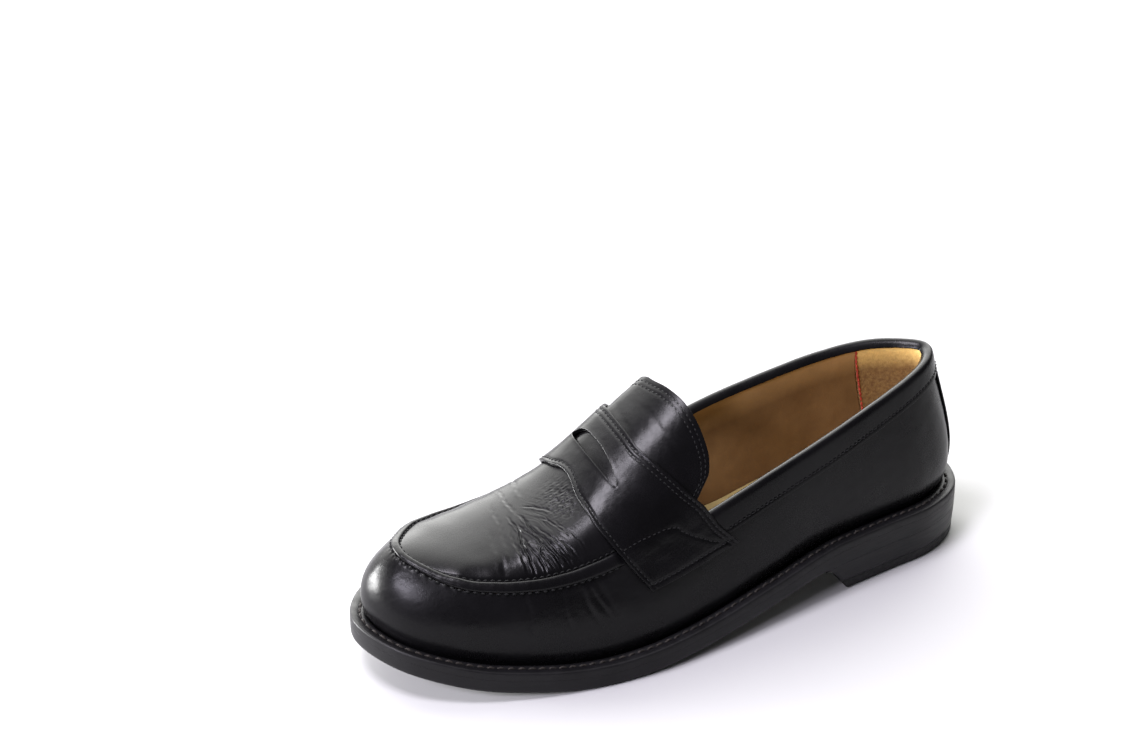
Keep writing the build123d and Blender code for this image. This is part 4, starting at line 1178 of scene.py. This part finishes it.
strap_top = STRAP_LIFT + STRAP_THICKNESS
q = np.linspace(-TAB_DEPTH + 0.05, TAB_DEPTH - 0.05, 900)
strap_lines = [strap_rear(q) + inset for inset in REAR_STITCHES] + [strap_front(q) - FRONT_STITCHES]
strap_rows = [saddle_row(q, line, strap_top - 0.12) for line in strap_lines]
for side in (1, -1):
    row_s, row_q = box_row(200)
    strap_rows.append(saddle_row(side * row_q, row_s, strap_top - 0.08))
    low_q = np.full(200, side * (TAB_DEPTH - 0.06))
    row_s = np.linspace(strap_rear(low_q)[0] + 2, strap_front(low_q)[0] - 2, 200)
    strap_rows.append(saddle_row(low_q, row_s, strap_top - 0.1))
tube_rows("strap_thread", strap_rows, 0.27, 2.2, black_thread, "strap_stitches")
q = np.linspace(-0.87, 0.87, 700)
tongue_rows = [saddle_row(q, tongue_tip(q) + inset, -0.1) for inset in TONGUE_STITCHES]
tube_rows("tongue_thread", tongue_rows, 0.26, 2.2, black_thread, "tongue_stitches")


# ------------------------ upper: collar and back
COLLAR_CREST = 2.3
COLLAR_SHOULDER = 0.5
COLLAR_STITCH_DEPTH = 2.0


def collar_depth(u):
    """Height of the collar's outside, least at the back of the heel."""
    return COLLAR_HEEL_DEPTH + (COLLAR_DEPTH - COLLAR_HEEL_DEPTH) * np.clip(from_heel(u) / 4, 0, 1) ** 2


def collar_face(u, run, radius):
    """Folded band: run goes 0-1 up the outside, 1-2 round the top line, 2-3 down the inside."""
    below = COLLAR_TURN + (collar_depth(u) - COLLAR_TURN) * np.clip(1 - run, 0, 1)
    v = depth_to_v(u, below + 0.4 * COLLAR_INNER_LEG * np.clip(run - 2, 0, 1))
    out = wall_normal(u, v)
    rise = unit(wall(u, v + 0.01) - wall(u, v - 0.01))
    across = (0.5 - 0.5 * np.cos(np.pi * np.clip(run - 1, 0, 1)))[..., None]
    upward = COLLAR_CREST * across**0.42 * (1 - across) ** 0.95 + COLLAR_SHOULDER * across**1.5
    return wall(u, v) - out * LINING_IN / 2 + radius[..., None] * (out * (1 - 2 * across) + rise * upward)


def collar_end(run, side):
    """Station where the collar's edge stops, under the strap."""
    depth = COLLAR_TURN + (COLLAR_DEPTH - COLLAR_TURN) * np.clip(1 - run, 0, 1)
    q = np.where(run < 1, 2 - depth_to_v(STRAP_LATERAL + 0 * run, depth), 1.0)
    return station_at(strap_rear(side * q) - 0.3, side)


part, run = grid(np.linspace(0, 1, 640), stretches((0, 1, 22), (1, 2, 20), (2, 3, 5)))
first = collar_end(run, -1) - LAPS
u = first + (collar_end(run, 1) - first) * part
radius = LINING_IN / 2 + 0.2
outside = np.clip(1 - run, 0, 1)
distance = (collar_depth(u) - COLLAR_TURN) * (1 - outside)
plan = wall(u, 0.9 + 0 * u)
swell = 0.05 * waves(plan[..., 1], plan[..., 0] + 6 * run, 61, 22)
swell = swell - 0.22 * bell(distance - COLLAR_STITCH_DEPTH, 0.5) * (run < 1)
swell = swell - 0.3 * step(0, 1, outside) - 0.45 * step(1, 2, run)
outer = collar_face(u, run, radius + 1.0 + swell)
inner = collar_face(u, run, radius + 0.0 * u)
sheet("collar_leather", outer, inner, black, "collar", 0.3)

last_q = np.array([2 - depth_to_v(STRAP_LATERAL, COLLAR_DEPTH - COLLAR_STITCH_DEPTH)])
ends = [float(station_at(strap_rear(side * last_q)[0] - 1.5, side)) for side in (-1, 1)]
u = np.linspace(ends[0] - LAPS, ends[1], 2400)
collar_row = wall_row(u, collar_depth(u) - COLLAR_STITCH_DEPTH, 1.05)
tube_rows("collar_thread", [collar_row], 0.26, 2.3, black_thread, "collar_stitches")

side, part = grid(np.linspace(-1, 1, 41), np.linspace(0, 1, 80))
v_top = depth_to_v(0 * part, 0 * part + COLLAR_HEEL_DEPTH + 0.2)
v = 0.02 + (v_top - 0.02) * part
u = side * BACK_STRIP_WIDTH / 2 / (15 - 4 * v)
relief = -0.15 * bell(np.abs(side) - 0.78, 0.09) - 0.35 * bell(side, 0.06)
strip_layers = layers(wall, wall_normal, u, v, 1.15 + relief, OVERLAY_IN)
sheet("back_strip_leather", *strip_layers, black, "back_strip", 0.35)


# ------------------------ linings
HEEL_LINING_END = 2.2
LINING_OVERLAP = 1.5


def lining_drop(u):
    """The linings run up behind the collar, but stop below the top line in front of it."""
    return rim_drop(u) + 0.3 - LINING_OVERLAP * (rim_drop(u) > 2)


def vamp_drop(u):
    return 0.9 + 0 * u


def lining(name, start, end, drop, finish, node, seed, size=0.12):
    """Lining of the wall between two stations."""
    rows = max(int(abs(end - start) * 34), 20)
    u, part = grid(np.linspace(start, end, rows), np.linspace(0, 1, 44))
    v = depth_to_v(u, drop(u)) * part
    s, z = np.moveaxis(wall(u, v)[..., 1:], -1, 0)
    relief = size * waves(s, z, seed, 26) + 0.03 * waves(s, z, seed + 1, 6)
    inner, outer = layers(wall, wall_normal, u, v, relief - LINING_IN, -LINING_OUT)
    return sheet(name, inner, outer, finish, node, 0.2)


lining("quarter_lining_lateral_skin", 2.21, 6.99, lining_drop, tan, "quarter_lining_lateral", 71)
lining("quarter_lining_medial_skin", 17.01, 21.79, lining_drop, tan, "quarter_lining_medial", 73)
lining("vamp_lining_skin", 7.0, 17.0, vamp_drop, tan, "vamp_lining", 75)
lining("heel_lining_suede", -HEEL_LINING_END, HEEL_LINING_END, lining_drop, suede, "heel_lining", 77, 0.2)

RED_SEAM_TOP = 2.5
depth = np.linspace(RED_SEAM_TOP, 50, 300)
red_rows = []
for start in (-HEEL_LINING_END, HEEL_LINING_END):
    line, out = wall_row(start + 0.04 * np.sin(depth / 16), depth, -LINING_IN)
    red_rows.append((line, -out))
tube_rows("heel_lining_thread", red_rows, 0.5, 2.6, red_thread, "heel_lining_stitches", arch=0.1, fill=1.3)

# Sock liner: a thin sheet whose edge turns up a little against the linings. The layers from the outsole
# up are the cork, the insole board and the sock itself, each on its film of cement.
SOCK_LAYERS = (2.0, 2.0, 1.2)
SOCK_TOP = OUTSOLE_THICKNESS + len(SOCK_LAYERS) * CEMENT_GAP + sum(SOCK_LAYERS)
left, right = [sole_line(line, 10.3, SOCK_TOP)[:, None, :] for line in ring_stations()]
t = np.linspace(0, 1, 60)[None, :]
face = left * (1 - t[..., None]) + right * t[..., None]
x, s = face[..., 0], face[..., 1]
width = np.linalg.norm(left - right, axis=-1)
end_gap = np.minimum(s - s.min(), s.max() - s)
edge = np.minimum(np.minimum(t, 1 - t) * width, end_gap)
rise = 0.5 * (1 - step(0, 7, edge)) + 0.12 * waves(x, s, 81, 34)
rise = rise * step(0, 1.2, width) - 0.25 * bell(s - 92, 0.8) * step(3, 6, edge)
outer = face[2:-2] + UP * rise[2:-2][..., None]
sheet("sock_leather", outer, face[2:-2] - UP * 1.1, sock_tan, "sock_liner", 0.2)


# ------------------------ stage
# The room is bright on the far side, towards the medial side and the toe, and dim on the near side.
BRIGHT_SIDE = (-0.8, 0.25, 0.55)
ROOM_DARK = 0.12
ROOM_BRIGHT = 8.2
ROOM_EDGE = (0.58, 0.97)
BACKDROP = 0.95

floor_paint = Paint("pale floor", (0.38, 0.38, 0.38), 0.9, Specular_IOR_Level=0.1)
floor_paint.bump(floor_paint.noise(40, 2), 0.02)
bpy.ops.mesh.primitive_plane_add(size=6)
floor = bpy.context.object
floor.name = "studio_floor"
floor.data.materials.append(floor_paint.material)

world = bpy.data.worlds.new("soft room")
bpy.context.scene.world = world
world.use_nodes = True
room = Nodes(world.node_tree)
background = room.tree.nodes["Background"]
background.inputs["Color"].default_value = (1.0, 1.0, 0.98, 1)
bright_side = room.toward(room.add("ShaderNodeTexCoord").outputs["Generated"], BRIGHT_SIDE)
# The camera sees an even pale backdrop, while the room still lights the shoe from its bright side.
chosen = room.add("ShaderNodeMix")
room.link(room.add("ShaderNodeLightPath").outputs["Is Camera Ray"], chosen.inputs["Factor"])
room.link(room.ramp(bright_side, ROOM_DARK, ROOM_BRIGHT, *ROOM_EDGE, "SMOOTHSTEP"), chosen.inputs["A"])
chosen.inputs["B"].default_value = BACKDROP
room.link(chosen.outputs["Result"], background.inputs["Strength"])


def soft_light(name, place, aim, size, power, colour):
    data = bpy.data.lights.new(name, "AREA")
    data.shape = "RECTANGLE"
    data.color, data.energy = colour, power
    data.size, data.size_y = size
    lamp = bpy.data.objects.new(name, data)
    bpy.context.scene.collection.objects.link(lamp)
    lamp.location = place
    lamp.rotation_mode = "QUATERNION"
    lamp.rotation_quaternion = (Vector(place) - Vector(aim)).to_track_quat("Z", "Y")


TOE_AIM = (0, -0.12, 0.04)
INSTEP_AIM = (0, -0.03, 0.06)
soft_light("window", (-0.93, -1.3, 0.22), TOE_AIM, (0.88, 0.42), 88, (1, 1, 1))
soft_light("corner", (0.42, -1.1, 0.86), TOE_AIM, (0.55, 0.26), 20, (0.9, 0.86, 1.0))
soft_light("overhead", (0.03, -0.43, 1.2), INSTEP_AIM, (0.36, 0.4), 19, (0.94, 0.9, 1.0))

CAMERA_PLACE = Vector((0.91602, -0.50649, 0.74267))
CAMERA_RIGHT = Vector((0.44528257, 0.89538374, 0.00337511))
CAMERA_UP = Vector((-0.46674286, 0.22889543, 0.85425873))
camera_data = bpy.data.cameras.new("camera")
camera_data.lens = 97.34
camera_data.sensor_width = 36
camera = bpy.data.objects.new("camera", camera_data)
bpy.context.scene.collection.objects.link(camera)
backward = CAMERA_RIGHT.cross(CAMERA_UP)
turned = Matrix((CAMERA_RIGHT, CAMERA_UP, backward)).transposed().to_4x4()
camera.matrix_world = Matrix.Translation(CAMERA_PLACE) @ turned
bpy.context.scene.camera = camera
bpy.context.scene.view_settings.view_transform = "Standard"
